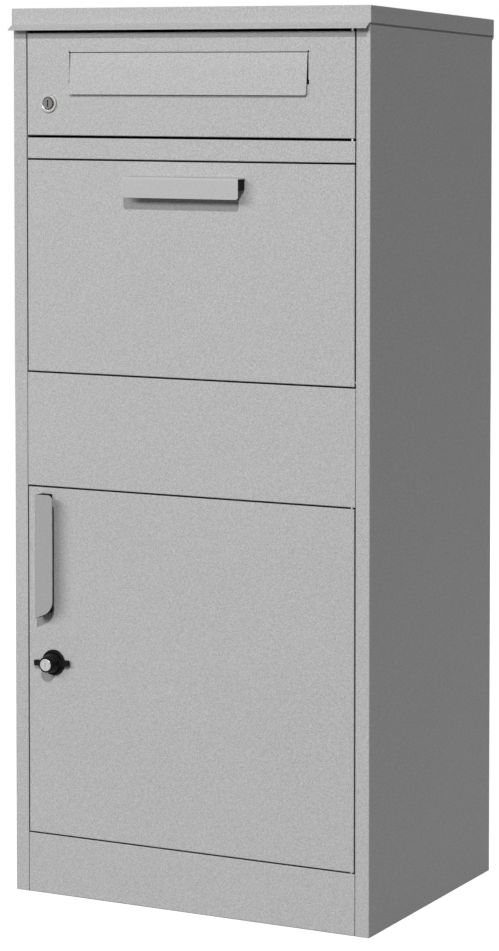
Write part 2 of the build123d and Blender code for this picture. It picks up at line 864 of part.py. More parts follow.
def letter_lock_body():
    """Lock housing: a rim on the door's face and a threaded barrel through it."""
    rim = lock_axis_rod(
        letter_lock_place, (front - letter_lock_rim_height, front), letter_lock_rim_diameter
    )
    rim_edge = rim.edges().filter_by(GeomType.CIRCLE).sort_by(Axis.Y)[0]
    rim = fillet(rim_edge, letter_lock_rim_height * 0.4)
    barrel = lock_axis_rod(letter_lock_place, (front, front + lock_tail_length),
                           letter_lock_barrel_diameter)
    bore = lock_axis_rod(
        letter_lock_place,
        (front - 2 * letter_lock_rim_height, front + 2 * lock_tail_length),
        letter_plug_diameter + 2 * running_fit,
    )
    return rim + barrel - bore


def letter_lock_plug():
    """Turning plug with its keyway."""
    face = front - letter_lock_rim_height - letter_plug_proud
    plug = lock_axis_rod(letter_lock_place, (face, cam_y[0]), letter_plug_diameter)
    return plug - keyway(letter_lock_place, face) - screw_socket(letter_lock_place)


def knob_rosette():
    """Round foot of the knob on the door, with a threaded tail through it."""
    foot = lock_axis_rod(knob_place, (front - rosette_height, front), rosette_diameter)
    foot_edge = foot.edges().filter_by(GeomType.CIRCLE).sort_by(Axis.Y)[0]
    foot = chamfer(foot_edge, rosette_chamfer)
    tail = lock_axis_rod(knob_place, (front, front + lock_tail_length), lower_lock_tail_diameter)
    bore = lock_axis_rod(
        knob_place, (front - 2 * rosette_height, front + 2 * lock_tail_length),
        spindle_diameter + 2 * running_fit,
    )
    return foot + tail - bore


knob_y = (front - rosette_height - knob_gap - knob_length, front - rosette_height - knob_gap)


def wing_knob():
    """Knob with a tapering barrel, two wings and a bore for the key cylinder."""
    local = Cone(
        knob_base_diameter / 2, knob_tip_diameter / 2, knob_length,
        align=(Align.CENTER, Align.CENTER, Align.MIN),
    )
    wings = extrude(RectangleRounded(wing_span, wing_width, wing_corner), wing_height)
    wings = fillet(wings.edges().group_by(Axis.Z)[-1], fold_radius)
    local += Rot(0, 0, wing_rest_turn) * wings
    local -= Pos(0, 0, knob_length) * Cylinder(
        key_cylinder_diameter / 2 + running_fit, 2 * key_cylinder_length + 2 * running_fit
    )
    local -= Cylinder(spindle_diameter / 2 + hole_fit, 2 * spindle_socket_depth)
    return knob_plane * local


knob_plane = Plane(
    origin=(knob_place[0], knob_y[1], knob_place[1]),
    x_dir=(1, 0, 0),
    z_dir=(0, -1, 0),
)


def lock_spindle():
    """Shaft from the knob through the rosette to the cam."""
    y = (knob_y[1] - spindle_socket_depth + hole_fit, cam_y[0])
    return lock_axis_rod(knob_place, y, spindle_diameter) - screw_socket(knob_place)


def key_cylinder():
    """Silver key cylinder in the knob's tip."""
    face = knob_y[0] - key_cylinder_proud
    y = (face, knob_y[0] + key_cylinder_length)
    return lock_axis_rod(knob_place, y, key_cylinder_diameter) - keyway(knob_place, face)


# ---------------------------------------------------------------- letter door and flap
slot_z = (letter_door_z[1] - slot_top_drop - slot_height, letter_door_z[1] - slot_top_drop)
slot_centre = (door_x[0] + door_x[1]) / 2
slot_x = (slot_centre - slot_width / 2, slot_centre + slot_width / 2)
flap_curl_radius = flap_rod_diameter / 2 + running_fit + sheet
flap_axis_y = front + flap_curl_radius
flap_axis_z = slot_z[1] - flap_top_gap - flap_curl_radius


def flap_tilt():
    """Lean of the flap, in degrees, that rests its back on the slot's lower edge."""
    out = flap_curl_radius + buffer_gap
    down = flap_axis_z - slot_z[0]
    back_offset = flap_curl_radius - sheet
    lean = math.atan2(out, down) - math.asin(back_offset / math.hypot(out, down))
    return math.degrees(lean)


def letter_slot():
    """Cut-out of the letter door with its corner reliefs."""
    cut = block(slot_x, (front - sheet, inner_front + sheet), slot_z)
    for edge in slot_x:
        cut += rod((edge, front - sheet, slot_z[1]), (0, 1, 0), 2 * slot_relief_radius, 3 * sheet)
        relief_x = (edge - slot_relief_width / 2, edge + slot_relief_width / 2)
        relief_z = (slot_z[0], slot_z[0] + slot_relief_height)
        cut += block(relief_x, (front - sheet, inner_front + sheet), relief_z)
    return cut


def door_pin_holes(z):
    """Running holes for the pins in a side-hung door's lower and upper walls."""
    diameter = pin_diameter + 2 * running_fit
    return [rod((pin_x, pin_y, level - 2 * sheet), (0, 0, 1), diameter, 4 * sheet) for level in z]


def letter_door():
    """Top door with the letter slot, the lock's hole and the pin holes."""
    door = pan(door_x, letter_door_z, door_depth) - letter_slot()
    hole_y = (front - sheet, inner_front + sheet)
    door -= lock_axis_rod(letter_lock_place, hole_y, letter_lock_barrel_diameter + 2 * hole_fit)
    for hole in door_pin_holes(letter_door_z):
        door -= hole
    return door


def letter_flap():
    """Flap with its top edge rolled round the hinge rod, leaning on the slot's lower edge."""
    x = (slot_x[0] + flap_side_gap, slot_x[1] - flap_side_gap)
    length = x[1] - x[0]
    drop = flap_height - flap_curl_radius
    panel = block(x, (-flap_curl_radius, -flap_curl_radius + sheet), (-drop, 0))
    lower_corners = [
        edge for edge in panel.edges().filter_by(Axis.Y) if edge.center().Z < -drop / 2
    ]
    panel = fillet(lower_corners, flap_corner)
    curl = rod((x[0], 0, 0), (1, 0, 0), 2 * flap_curl_radius, length)
    bore = rod((x[0] - sheet, 0, 0), (1, 0, 0), flap_rod_diameter + 2 * running_fit,
               length + 2 * sheet)
    flap = Rot(-flap_tilt(), 0, 0) * (panel + curl - bore)
    return Pos(0, flap_axis_y, flap_axis_z) * flap


def flap_hinge_rod():
    """Wire that the flap hangs on, behind the letter door's sheet at both ends."""
    start = (slot_x[0] - flap_rod_overhang, flap_axis_y, flap_axis_z)
    return rod(start, (1, 0, 0), flap_rod_diameter, slot_width + 2 * flap_rod_overhang)


def flap_hinge_clips():
    """Saddle clips that trap the rod's ends against the door's sheet."""
    clips = []
    for near, far in ((slot_x[0], slot_x[0] - clip_width), (slot_x[1], slot_x[1] + clip_width)):
        shift = math.copysign(slot_relief_width, far - near)
        x = sorted((near + shift, far + shift))
        z = (flap_axis_z - clip_height / 2, flap_axis_z + clip_height / 2)
        clip = block(x, (inner_face, inner_face + clip_depth), z)
        notch_half = flap_rod_diameter / 2 + hole_fit
        clip -= block(x, (front, flap_axis_y), (flap_axis_z - notch_half, flap_axis_z + notch_half))
        clip -= rod((x[0], flap_axis_y, flap_axis_z), (1, 0, 0), 2 * notch_half, x[1] - x[0])
        clips.append(clip)
    return group(clips)


def letter_parts():
    """Letter door, its flap and its lock."""
    return {
        "letter_door": letter_door(),
        "letter_flap": letter_flap(),
        "flap_hinge_rod": flap_hinge_rod(),
        "flap_hinge_clips": flap_hinge_clips(),
        "letter_lock_body": letter_lock_body(),
        "letter_lock_nut": lock_nut(letter_lock_place, letter_lock_barrel_diameter),
        "letter_lock_plug": letter_lock_plug(),
        "letter_lock_cam": lock_cam(letter_lock_place, letter_cam_length, 1),
        "letter_cam_screw": cam_screw(letter_lock_place),
    }


# ---------------------------------------------------------------- lower door
def lower_door():
    """Parcel removal door."""
    door = pan(door_x, lower_door_z, door_depth)
    hole_y = (front - sheet, inner_front + sheet)
    door -= lock_axis_rod(knob_place, hole_y, lower_lock_tail_diameter + 2 * hole_fit)
    for hole in door_pin_holes(lower_door_z):
        door -= hole
    for hole in handle_shapes()["holes"]:
        door -= lower_handle_plane * hole
    return door


def door_stiffener():
    """Upright hat channel on the inside of the lower door."""
    middle = (door_x[0] + door_x[1]) / 2
    half = stiffener_width / 2
    z = (lower_door_z[0] + stiffener_end_gap, lower_door_z[1] - stiffener_end_gap)
    y = (inner_face, inner_face + stiffener_depth)
    channel = block((middle - half, middle + half), y, z)
    channel -= block((middle - half + sheet, middle + half - sheet), (front, y[1] - sheet), z)
    for side in (-1, 1):
        foot = sorted((middle + side * (half - sheet), middle + side * (half + stiffener_foot)))
        channel += block(foot, (y[0], y[0] + sheet), z)
    return channel


def lower_door_parts():
    """Lower door, its handle and its lock."""
    handle = handle_shapes()
    return {
        "lower_door": lower_door(),
        "door_stiffener": door_stiffener(),
        "lower_handle": lower_handle_plane * handle["grip"],
        "lower_handle_blocks": lower_handle_plane * handle["blocks"],
        "lower_handle_screws": lower_handle_plane * handle["screws"],
        "knob_rosette": knob_rosette(),
        "lower_lock_nut": lock_nut(knob_place, lower_lock_tail_diameter),
        "wing_knob": wing_knob(),
        "lock_spindle": lock_spindle(),
        "lower_lock_cam": lock_cam(knob_place, knob_cam_length, -1),
        "lower_cam_screw": cam_screw(knob_place),
        "key_cylinder": key_cylinder(),
    }


# ---------------------------------------------------------------- write the parts
os.makedirs("parts", exist_ok=True)
everything = {**cabinet_parts(), **hopper_parts(), **letter_parts(), **lower_door_parts()}
for name, shape in everything.items():
    export_step(shape, f"parts/{name}.step")
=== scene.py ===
"""Finishes, locks, handles and fasteners of a sheet-steel parcel drop box, and the studio it stands in."""

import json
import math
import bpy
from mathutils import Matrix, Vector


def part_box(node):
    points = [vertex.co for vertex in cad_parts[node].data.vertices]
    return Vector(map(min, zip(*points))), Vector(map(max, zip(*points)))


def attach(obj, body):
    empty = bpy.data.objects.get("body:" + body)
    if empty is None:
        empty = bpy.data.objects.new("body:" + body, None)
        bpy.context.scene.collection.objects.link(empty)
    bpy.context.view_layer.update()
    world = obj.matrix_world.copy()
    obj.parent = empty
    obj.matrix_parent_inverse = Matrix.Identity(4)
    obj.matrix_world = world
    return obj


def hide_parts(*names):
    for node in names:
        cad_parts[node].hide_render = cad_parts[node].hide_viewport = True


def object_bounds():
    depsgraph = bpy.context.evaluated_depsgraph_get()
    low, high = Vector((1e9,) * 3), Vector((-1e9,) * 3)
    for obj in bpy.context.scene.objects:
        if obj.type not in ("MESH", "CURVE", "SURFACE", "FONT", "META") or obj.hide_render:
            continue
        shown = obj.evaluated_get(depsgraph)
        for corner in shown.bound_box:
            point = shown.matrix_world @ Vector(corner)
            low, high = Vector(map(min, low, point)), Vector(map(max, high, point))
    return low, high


bl_info = {
    "name": "Parcel Drop Box",
    "version": (1, 0, 0),
    "blender": (4, 5, 0),
    "location": "3D View > Sidebar > Drop Box",
    "description": "Finishes the parcel drop box, adds its locks, handles and fasteners, and lights it",
    "category": "Object",
}

import bmesh
import bpy
from bpy.props import FloatProperty, FloatVectorProperty, PointerProperty
from bpy.types import NodeSocket, Operator, Panel, PropertyGroup
from mathutils import Matrix, Vector

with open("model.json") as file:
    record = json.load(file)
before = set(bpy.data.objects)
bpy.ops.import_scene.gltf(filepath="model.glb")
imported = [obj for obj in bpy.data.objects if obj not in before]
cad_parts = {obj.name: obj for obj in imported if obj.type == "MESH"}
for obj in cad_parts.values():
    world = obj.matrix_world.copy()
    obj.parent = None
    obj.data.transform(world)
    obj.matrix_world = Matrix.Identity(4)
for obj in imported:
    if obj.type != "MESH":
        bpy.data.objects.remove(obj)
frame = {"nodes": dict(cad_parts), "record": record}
cad_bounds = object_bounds()

MM = 0.001
FORWARD = Vector((0, -1, 0))
BACKWARD = Vector((0, 1, 0))
UP = Vector((0, 0, 1))
STILL = Matrix.Identity(4)

# Sizes that several pieces share, in millimetres
SHEET = 1.2
SHEET_ROUNDING = 0.2
RIVET_HEAD = 1.2

# Distances within which points are joined, in metres
SOLID_WELD = 1e-6
PIECE_WELD = 1e-7


# ---------------------------------------------------------------- what the frame says
def box_mm(node):
    """Lowest and highest corner of a CAD node, in millimetres."""
    low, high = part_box(node)
    return low / MM, high / MM


def middle(node):
    """Middle of a CAD node's box, in millimetres."""
    low, high = box_mm(node)
    return (low + high) / 2


def rear_middle(node):
    """Middle of a CAD node's rear face, in millimetres."""
    place = middle(node)
    place.y = box_mm(node)[1].y
    return place


def on_face(node, door):
    """Place on a door's face in front of a CAD node's middle, in millimetres."""
    place = middle(node)
    place.y = box_mm(door)[0].y
    return place


def depth_of(node):
    """Size of a CAD node from its front to its rear, in millimetres."""
    low, high = box_mm(node)
    return high.y - low.y


def solids(node):
    """Boxes of the separate solids in a CAD node, in millimetres, as (low, high)."""
    mesh = bmesh.new()
    mesh.from_mesh(frame["nodes"][node].data)
    bmesh.ops.remove_doubles(mesh, verts=mesh.verts, dist=SOLID_WELD)
    left = set(mesh.verts)
    boxes = []
    while left:
        found = []
        queue = [left.pop()]
        while queue:
            vertex = queue.pop()
            found.append(vertex.co / MM)
            for edge in vertex.link_edges:
                other = edge.other_vert(vertex)
                if other in left:
                    left.remove(other)
                    queue.append(other)
        low = Vector([min(point[i] for point in found) for i in range(3)])
        high = Vector([max(point[i] for point in found) for i in range(3)])
        boxes.append((low, high))
    mesh.free()
    return sorted(boxes, key=lambda pair: tuple(round(value, 2) for value in pair[0]))


SLOT_OF = {row["node"]: row["material_slot"] for row in frame["record"]["subparts"]}
BODY_OF = {
    node: body for body, nodes in frame["record"]["behaviour"]["bodies"].items() for node in nodes
}


# ---------------------------------------------------------------- settings
KINDS = {
    "colour": {"subtype": "COLOR", "min": 0, "max": 1},
    "factor": {"subtype": "FACTOR", "min": 0, "max": 1},
    "length": {"subtype": "DISTANCE", "unit": "LENGTH"},
    "angle": {"subtype": "ANGLE", "unit": "ROTATION"},
    "place": {"subtype": "TRANSLATION", "unit": "LENGTH"},
    "direction": {"subtype": "DIRECTION"},
    "strength": {"min": 0},
    "power": {"subtype": "POWER", "unit": "POWER", "min": 0},
    "focal length": {"subtype": "DISTANCE_CAMERA", "unit": "CAMERA"},
    "shift": {"unit": "NONE"},
}


def setting(kind, name, description, *default):
    """Property of a kind: one default makes a number and three make a vector."""
    if len(default) == 3:
        return FloatVectorProperty(name=name, description=description, default=default, **KINDS[kind])
    return FloatProperty(name=name, description=description, default=default[0], **KINDS[kind])


class CoatSettings(PropertyGroup):
    """Powder coat on the sheet metal."""

    colour: setting(
        "colour", "Colour", "Colour of the textured coat on the cabinet and doors", 0.45, 0.45, 0.45
    )
    roughness: setting("factor", "Roughness", "How matt the coat is", 0.55)
    grain_size: setting("length", "Grain size", "Width of one grain of the texture", 0.0013)
    grain_contrast: setting("factor", "Grain contrast", "How much lighter and darker the grains are", 0.34)
    grain_relief: setting("length", "Grain relief", "Height of the grains", 0.00007)
    edge_radius: setting("length", "Edge radius", "Rounding of cut edges under the coat", 0.0005)
    # Lightening along the edges: partly wear, partly painted highlight
    edge_wear_and_highlight: setting("factor", "Edge wear and highlight", "How far the coat is rubbed lighter along edges", 0.25)
    dust: setting("factor", "Dust", "Fine dust on surfaces that face up", 0.15)
    # Strength of the painted shade laid into narrow gaps and inside corners
    painted_gap_shade: setting("factor", "Painted gap shade", "How dark the narrow gaps round the doors are", 0.9)


class HandleSettings(PropertyGroup):
    """Bent-sheet handles and their end blocks."""

    # Both handles are one part in one coat: the drop handle's colour is painted lighter and the lower
    # handle's darker, as painted light and shade
    upper_lit_colour: setting(
        "colour", "Drop door handle", "Colour of the drop door's handle", 0.465, 0.465, 0.465
    )
    lower_shaded_colour: setting(
        "colour", "Lower door handle", "Colour of the lower door's handle", 0.35, 0.35, 0.35
    )
    bend_radius: setting("length", "Bend radius", "Outer radius of the bend", 0.0018)
    upper_corner: setting("length", "Drop door handle corners", "Radius of the free corners", 0.003)
    top_corner: setting("length", "Lower door handle top corner", "Radius of the upper free corner", 0.006)
    bottom_corner: setting(
        "length", "Lower door handle bottom corner", "Radius of the lower free corner", 0.018
    )
    bottom_cut: setting(
        "length", "Lower door handle bottom cut", "How far the lower end is cut back at the bend", 0.0037
    )
    bottom_slant: setting(
        "angle", "Lower door handle bottom slant", "How steeply the lower end rises across the plate",
        math.radians(23),
    )


class FlapSettings(PropertyGroup):
    """Letter flap."""

    side_gap: setting("length", "Side gap", "Room added beside the flap at each end", 0.0006)
    extra_lean: setting(
        "angle", "Extra lean", "How far the flap hangs out past resting on the door", math.radians(2.2)
    )
    corner: setting("length", "Corner radius", "Radius of the flap's lower corners", 0.002)


class LockSettings(PropertyGroup):
    """Knob, key cylinder and letter lock."""

    plastic: setting("colour", "Knob colour", "Colour of the black moulded plastic", 0.007, 0.007, 0.007)
    nickel: setting("colour", "Nickel colour", "Colour of the plated lock parts", 0.50, 0.493, 0.482)
    cylinder: setting(
        "colour", "Key cylinder colour", "Colour of the knob's key cylinder", 0.54, 0.535, 0.525
    )
    plug: setting("colour", "Plug colour", "Colour of the letter lock's plug", 0.17, 0.167, 0.162)
    tip_ring: setting("length", "Tip ring", "Length of the ring round the knob's tip", 0.003)


class FastenerSettings(PropertyGroup):
    """Screws, nuts, rivets and pins."""

    zinc: setting("colour", "Zinc colour", "Colour of the zinc-plated fasteners", 0.56, 0.57, 0.58)
    thread_pitch: setting("length", "Thread pitch", "Pitch of the lock tails' threads", 0.0015)
    lid_slope: setting("angle", "Lid slope", "How far the lid falls towards the back", math.atan2(11, 330))


class StudioSettings(PropertyGroup):
    """Lights, floor and camera."""

    key_level: setting("strength", "Key light", "Strength of the key light", 1.89)
    key_angle: setting("angle", "Key softness", "Apparent width of the key light", math.radians(2.5))
    key_direction: setting(
        "direction", "Key direction", "Direction towards the key light", 0.355, -0.75, 0.6
    )
    fill_level: setting("power", "Fill light", "Power of the low front fill light", 150)
    fill_place: setting("place", "Fill place", "Where the fill light stands", -1.3, -4.7, 2.6)
    back_level: setting("power", "Back light", "Power of the light behind the box", 110)
    back_place: setting("place", "Back place", "Where the back light stands", -2.2, 4.5, 1.8)
    world_level: setting("strength", "Room light", "Strength of the even light from all round", 0.025)
    reflection_level: setting(
        "strength", "Room reflection", "Brightness of the room in shiny surfaces, level with the box", 0.6
    )
    ceiling_level: setting(
        "strength", "Ceiling reflection", "Brightness of the room in shiny surfaces, overhead", 0.12
    )
    floor_colour: setting("colour", "Floor", "Colour of the floor", 0.22, 0.22, 0.22)
    floor_glow: setting("strength", "Floor glow", "Light added to the floor where the camera sees it", 0.9)
    lens: setting("focal length", "Focal length", "Focal length of the camera", 119.19)
    camera_place: setting("place", "Camera place", "Where the camera stands", 1.6673, -3.2103, 0.9396)
    camera_yaw: setting(
        "angle", "Camera yaw", "How far the camera looks to the left of straight back", math.radians(27.559)
    )
    camera_pitch: setting("angle", "Camera pitch", "How far the camera looks down", math.radians(2.845))
    camera_shift: setting("shift", "Camera shift", "Vertical lens shift", -0.262)


SETTINGS = {
    "dropbox_coat": CoatSettings,
    "dropbox_handles": HandleSettings,
    "dropbox_flap": FlapSettings,
    "dropbox_locks": LockSettings,
    "dropbox_fasteners": FastenerSettings,
    "dropbox_studio": StudioSettings,
}


# ---------------------------------------------------------------- shader nodes
SOCKET_KINDS = {"Colour": "Color", "Normal": "Vector", "Centre": "Vector"}
WHITE = (1, 1, 1, 1)


def add_node(tree, kind, inputs=(), **settings):
    """Outputs of a new shader node; inputs map a socket's name or number to a value or a socket."""
    node = tree.nodes.new("ShaderNode" + kind)
    for name, value in settings.items():
        setattr(node, name, value)
    for key, value in dict(inputs).items():
        if isinstance(value, NodeSocket):
            tree.links.new(value, node.inputs[key])
        else:
            node.inputs[key].default_value = value
    return node.outputs


def math_node(tree, operation, *values, clamp=False):
    """Result of a Math node on one to three values or sockets."""
    return add_node(tree, "Math", dict(enumerate(values)), operation=operation, use_clamp=clamp)[0]


def multiply(tree, first, *others, clamp=False):
    """Product of values or sockets; clamp keeps it between 0 and 1."""
    for other in others[:-1]:
        first = math_node(tree, "MULTIPLY", first, other)
    return math_node(tree, "MULTIPLY", first, others[-1], clamp=clamp)


def vector_node(tree, operation, inputs):
    """Outputs of a Vector Math node."""
    return add_node(tree, "VectorMath", inputs, operation=operation)


def scaled(tree, vector, factor):
    """Vector or colour times a number."""
    return vector_node(tree, "SCALE", {0: vector, "Scale": factor})[0]


def blend(tree, factor, first, second):
    """Colour mixed from two colours."""
    return add_node(tree, "Mix", {0: factor, 6: first, 7: second}, data_type="RGBA")[2]


def spread(tree, value, low, high, to_low=0.0, to_high=1.0):
    """Value moved from one range to another, kept inside it."""
    inputs = {"Value": value, "From Min": low, "From Max": high, "To Min": to_low, "To Max": to_high}
    return add_node(tree, "MapRange", inputs)["Result"]


def object_place(tree):
    """Place on the object, in metres."""
    return add_node(tree, "TexCoord")["Object"]


def noise(tree, place, scale, detail=2.0, roughness=0.5):
    """Noise between 0 and 1 over a place."""
    inputs = {"Vector": place, "Scale": scale, "Detail": detail, "Roughness": roughness}
    return add_node(tree, "TexNoise", inputs)[0]


def add_socket(group, name, side):
    """Named socket on a group's INPUT or OUTPUT side."""
    kind = "NodeSocket" + SOCKET_KINDS.get(name, "Float")
    group.interface.new_socket(name, in_out=side, socket_type=kind)


def new_group(name, *inputs):
    """Empty node group with named inputs: returns (group, its inputs)."""
    group = bpy.data.node_groups.new(name, "ShaderNodeTree")
    for socket in inputs:
        add_socket(group, socket, "INPUT")
    return group, group.nodes.new("NodeGroupInput").outputs


def finish_group(group, **results):
    """Gives a node group its named outputs."""
    for name in results:
        add_socket(group, name, "OUTPUT")
    end = group.nodes.new("NodeGroupOutput")
    for name, socket in results.items():
        group.links.new(socket, end.inputs[name])
    return group


def use_group(tree, name, **inputs):
    """Places a node group in a material; underscores in the input names stand for spaces."""
    node = tree.nodes.new("ShaderNodeGroup")
    node.node_tree = bpy.data.node_groups.get(name) or EFFECTS[name]()
    for key, value in inputs.items():
        node.inputs[key.replace("_", " ")].default_value = value
    return node.outputs


def speckle_group():
    """Fine grain of a textured coat or a moulded surface."""
    group, given = new_group("Surface grain", "Colour", "Grain Size", "Contrast", "Relief", "Roughness")
    place = object_place(group)
    slanted = add_node(
        group, "VectorRotate", {"Vector": place, "Rotation": (0.61, 0.37, 0.83)}, rotation_type="EULER_XYZ",
    )[0]
    grains = scaled(group, slanted, math_node(group, "DIVIDE", 1.0, given["Grain Size"]))
    fine = noise(group, grains, 1.0, roughness=0.65)
    pits = noise(group, grains, 0.45, detail=1.0)
    cloudy = spread(group, noise(group, place, 7.0), 0.25, 0.75, -0.012, 0.012)
    centred = math_node(group, "SUBTRACT", fine, 0.5)
    swing = multiply(group, given["Contrast"], 4.0, centred)
    factor = math_node(group, "ADD", math_node(group, "ADD", swing, cloudy), 1.0)
    relief = math_node(group, "ADD", fine, multiply(group, pits, 0.8))
    return finish_group(
        group,
        Colour=scaled(group, given["Colour"], factor),
        Roughness=math_node(group, "MULTIPLY_ADD", centred, 0.25, given["Roughness"], clamp=True),
        Height=multiply(group, relief, given["Relief"]),
    )


def edge_group():
    """Soft rounding of cut edges, and a broken mask along them where they are lightened, partly as wear and
    partly as painted highlight.
    """
    group, given = new_group("Edge wear and highlight", "Radius", "Wear")
    rounded, wide = (
        add_node(group, "Bevel", {"Radius": radius}, samples=4)[0]
        for radius in (given["Radius"], multiply(group, given["Radius"], 2.0))
    )
    flat = add_node(group, "NewGeometry")["Normal"]
    edge = spread(group, vector_node(group, "DOT_PRODUCT", {0: wide, 1: flat})["Value"], 0.97, 0.75)
    broken = spread(group, noise(group, object_place(group), 160.0, detail=4.0), 0.42, 0.62, 0.25, 1.0)
    return finish_group(
        group, Mask=multiply(group, edge, broken, given["Wear"], clamp=True), Normal=rounded
    )


def dust_group():
    """Thin uneven dust on surfaces that face up."""
    group, given = new_group("Settled dust", "Amount")
    normal = add_node(group, "NewGeometry")["Normal"]
    upward = spread(group, add_node(group, "SeparateXYZ", {0: normal})[2], 0.6, 0.98)
    patches = noise(group, object_place(group), 28.0, detail=5.0, roughness=0.6)
    patchy = spread(group, patches, 0.35, 0.7, 0.3, 1.0)
    return finish_group(group, Mask=multiply(group, upward, patchy, given["Amount"]))


def painted_gap_shade_group():
    """Mask of narrow gaps and inside corners from ambient occlusion, for painted shade there."""
    group, given = new_group("Painted gap shade", "Reach", "Amount")
    open_sky = add_node(group, "AmbientOcclusion", {"Distance": given["Reach"]}, samples=8)["AO"]
    mask = multiply(group, spread(group, open_sky, 0.62, 0.25), given["Amount"], clamp=True)
    return finish_group(group, Mask=mask)


def lathe_group():
    """Fine rings left by turning, round an axis that points forward."""
    group, given = new_group("Turning marks", "Centre", "Pitch", "Depth", "Roughness")
    offset = vector_node(group, "SUBTRACT", {0: object_place(group), 1: given["Centre"]})[0]
    across = vector_node(group, "MULTIPLY", {0: offset, 1: (1, 0, 1)})[0]
    radius = vector_node(group, "LENGTH", {0: across})["Value"]
    turns = add_node(group, "CombineXYZ", {0: math_node(group, "DIVIDE", radius, given["Pitch"])})[0]
    rings = noise(group, turns, 1.0, detail=3.0, roughness=0.7)
    centred = math_node(group, "SUBTRACT", rings, 0.5)
    return finish_group(
        group,
        Height=multiply(group, rings, given["Depth"]),
        Roughness=math_node(group, "MULTIPLY_ADD", centred, 0.3, given["Roughness"], clamp=True),
    )


EFFECTS = {
    "Surface grain": speckle_group,
    "Edge wear and highlight": edge_group,
    "Settled dust": dust_group,
    "Painted gap shade": painted_gap_shade_group,
    "Turning marks": lathe_group,
}


def new_material(name, display, **values):
    """Material with a Principled shader: returns (material, tree, shader).

    Values set the shader's inputs; underscores in their names stand for spaces.
    """
    material = bpy.data.materials.new(name)
    material.use_nodes = True
    material.diffuse_color = (*display, 1)
    shader = material.node_tree.nodes["Principled BSDF"]
    for key, value in values.items():
        shader.inputs[key.replace("_", " ")].default_value = value
    return material, material.node_tree, shader


def bump(tree, height, normal=None):
    """Normal tilted by a height in metres."""
    inputs = {"Height": height, "Distance": 1.0, "Strength": 1.0}
    if normal is not None:
        inputs["Normal"] = normal
    return add_node(tree, "Bump", inputs)[0]


def join(tree, shader, colour, roughness, normal):
    """Links sockets to a shader's main inputs."""
    for name, socket in (("Base Color", colour), ("Roughness", roughness), ("Normal", normal)):
        tree.links.new(socket, shader.inputs[name])


# ---------------------------------------------------------------- finishes
# Colours of lightened edges: partly wear, partly painted highlight
COAT_EDGE_WEAR_AND_HIGHLIGHT = (0.66, 0.66, 0.65, 1)
PLATE_EDGE_WEAR_AND_HIGHLIGHT = (0.85, 0.85, 0.84, 1)
PLASTIC_EDGE_WEAR_AND_HIGHLIGHT = (0.045, 0.045, 0.045, 1)
DUST = (0.52, 0.50, 0.46, 1)
# Painted shade: near-black colour laid into narrow gaps and inside corners within this reach
PAINTED_GAP_SHADE = (0.015, 0.015, 0.014, 1)
PAINTED_SHADE_REACH = 0.004
PLATE_RELIEF = 0.000004
FINISH_OF = {
    "powder_coated_steel": "textured_grey_coat",
    "zinc_plated_steel": "bright_zinc",
    "nickel_plated_lock": "satin_nickel",
    "black_plastic": "glossy_black_plastic",
    "rubber": "black_rubber",
}


def worn_and_highlighted(name, colour, grain, edge, lit_worn_edges, **values):
    """Grained material whose edges are rounded and lightened, partly as wear and partly as painted
    highlight.

    Grain is its (size, contrast, relief, roughness) and edge is its (radius, amount of wear and painted
    highlight).
    Returns (material, tree, shader, colour with the lightened edges).
    """
    material, tree, shader = new_material(name, colour, **values)
    names = ("Grain_Size", "Contrast", "Relief", "Roughness")
    surface = use_group(tree, "Surface grain", Colour=(*colour, 1), **dict(zip(names, grain)))
    edges = use_group(tree, "Edge wear and highlight", Radius=edge[0], Wear=edge[1])
    shown = blend(tree, edges["Mask"], surface["Colour"], lit_worn_edges)
    join(tree, shader, shown, surface["Roughness"], bump(tree, surface["Height"], edges["Normal"]))
    return material, tree, shader, shown


def coat(name, colour, contrast, relief, roughness, wear_and_highlight):
    """Powder coat with grain, softened edges lightened as wear and as painted highlight, a trace of dust,
    and painted shade in gaps.
    """
    settings = bpy.context.scene.dropbox_coat
    material, tree, shader, lit_worn_edges = worn_and_highlighted(
        name, colour, (settings.grain_size, contrast, relief, roughness), (settings.edge_radius, wear_and_highlight),
        COAT_EDGE_WEAR_AND_HIGHLIGHT, Specular_IOR_Level=0.35,
    )
    dust = use_group(tree, "Settled dust", Amount=settings.dust)
    # Painted shade darkens the colour in narrow gaps and inside corners
    gap_shade = use_group(tree, "Painted gap shade", Reach=PAINTED_SHADE_REACH, Amount=settings.painted_gap_shade)
    dusty_and_shaded = blend(tree, gap_shade["Mask"], blend(tree, dust["Mask"], lit_worn_edges, DUST), PAINTED_GAP_SHADE)
    tree.links.new(dusty_and_shaded, shader.inputs["Base Color"])
    return material


def handle_coat(name, colour):
    """Smooth powder coat of a handle, with strongly lightened edges: painted highlight along them."""
    return coat(name, colour, contrast=0.12, relief=0.000006, roughness=0.42, wear_and_highlight=1.6)


def plated(name, colour, roughness, spangle):
    """Plated metal with faint cloudiness and brighter edges, partly wear and partly painted highlight."""
    grain = (0.0008, spangle, PLATE_RELIEF, roughness)
    return worn_and_highlighted(name, colour, grain, (0.0003, 0.3), PLATE_EDGE_WEAR_AND_HIGHLIGHT, Metallic=1.0)[0]


def turned_metal(name, colour, centre, roughness):
    """Plated metal with turning marks round a centre."""
    material, tree, shader = new_material(name, colour, Metallic=1.0)
    marks = use_group(
        tree, "Turning marks", Centre=centre * MM, Pitch=0.00035, Depth=PLATE_RELIEF, Roughness=roughness,
    )
    grain = use_group(
        tree, "Surface grain", Colour=(*colour, 1), Grain_Size=0.0006, Contrast=0.05, Relief=0.0,
        Roughness=roughness,
    )
    join(tree, shader, grain["Colour"], marks["Roughness"], bump(tree, marks["Height"]))
    return material


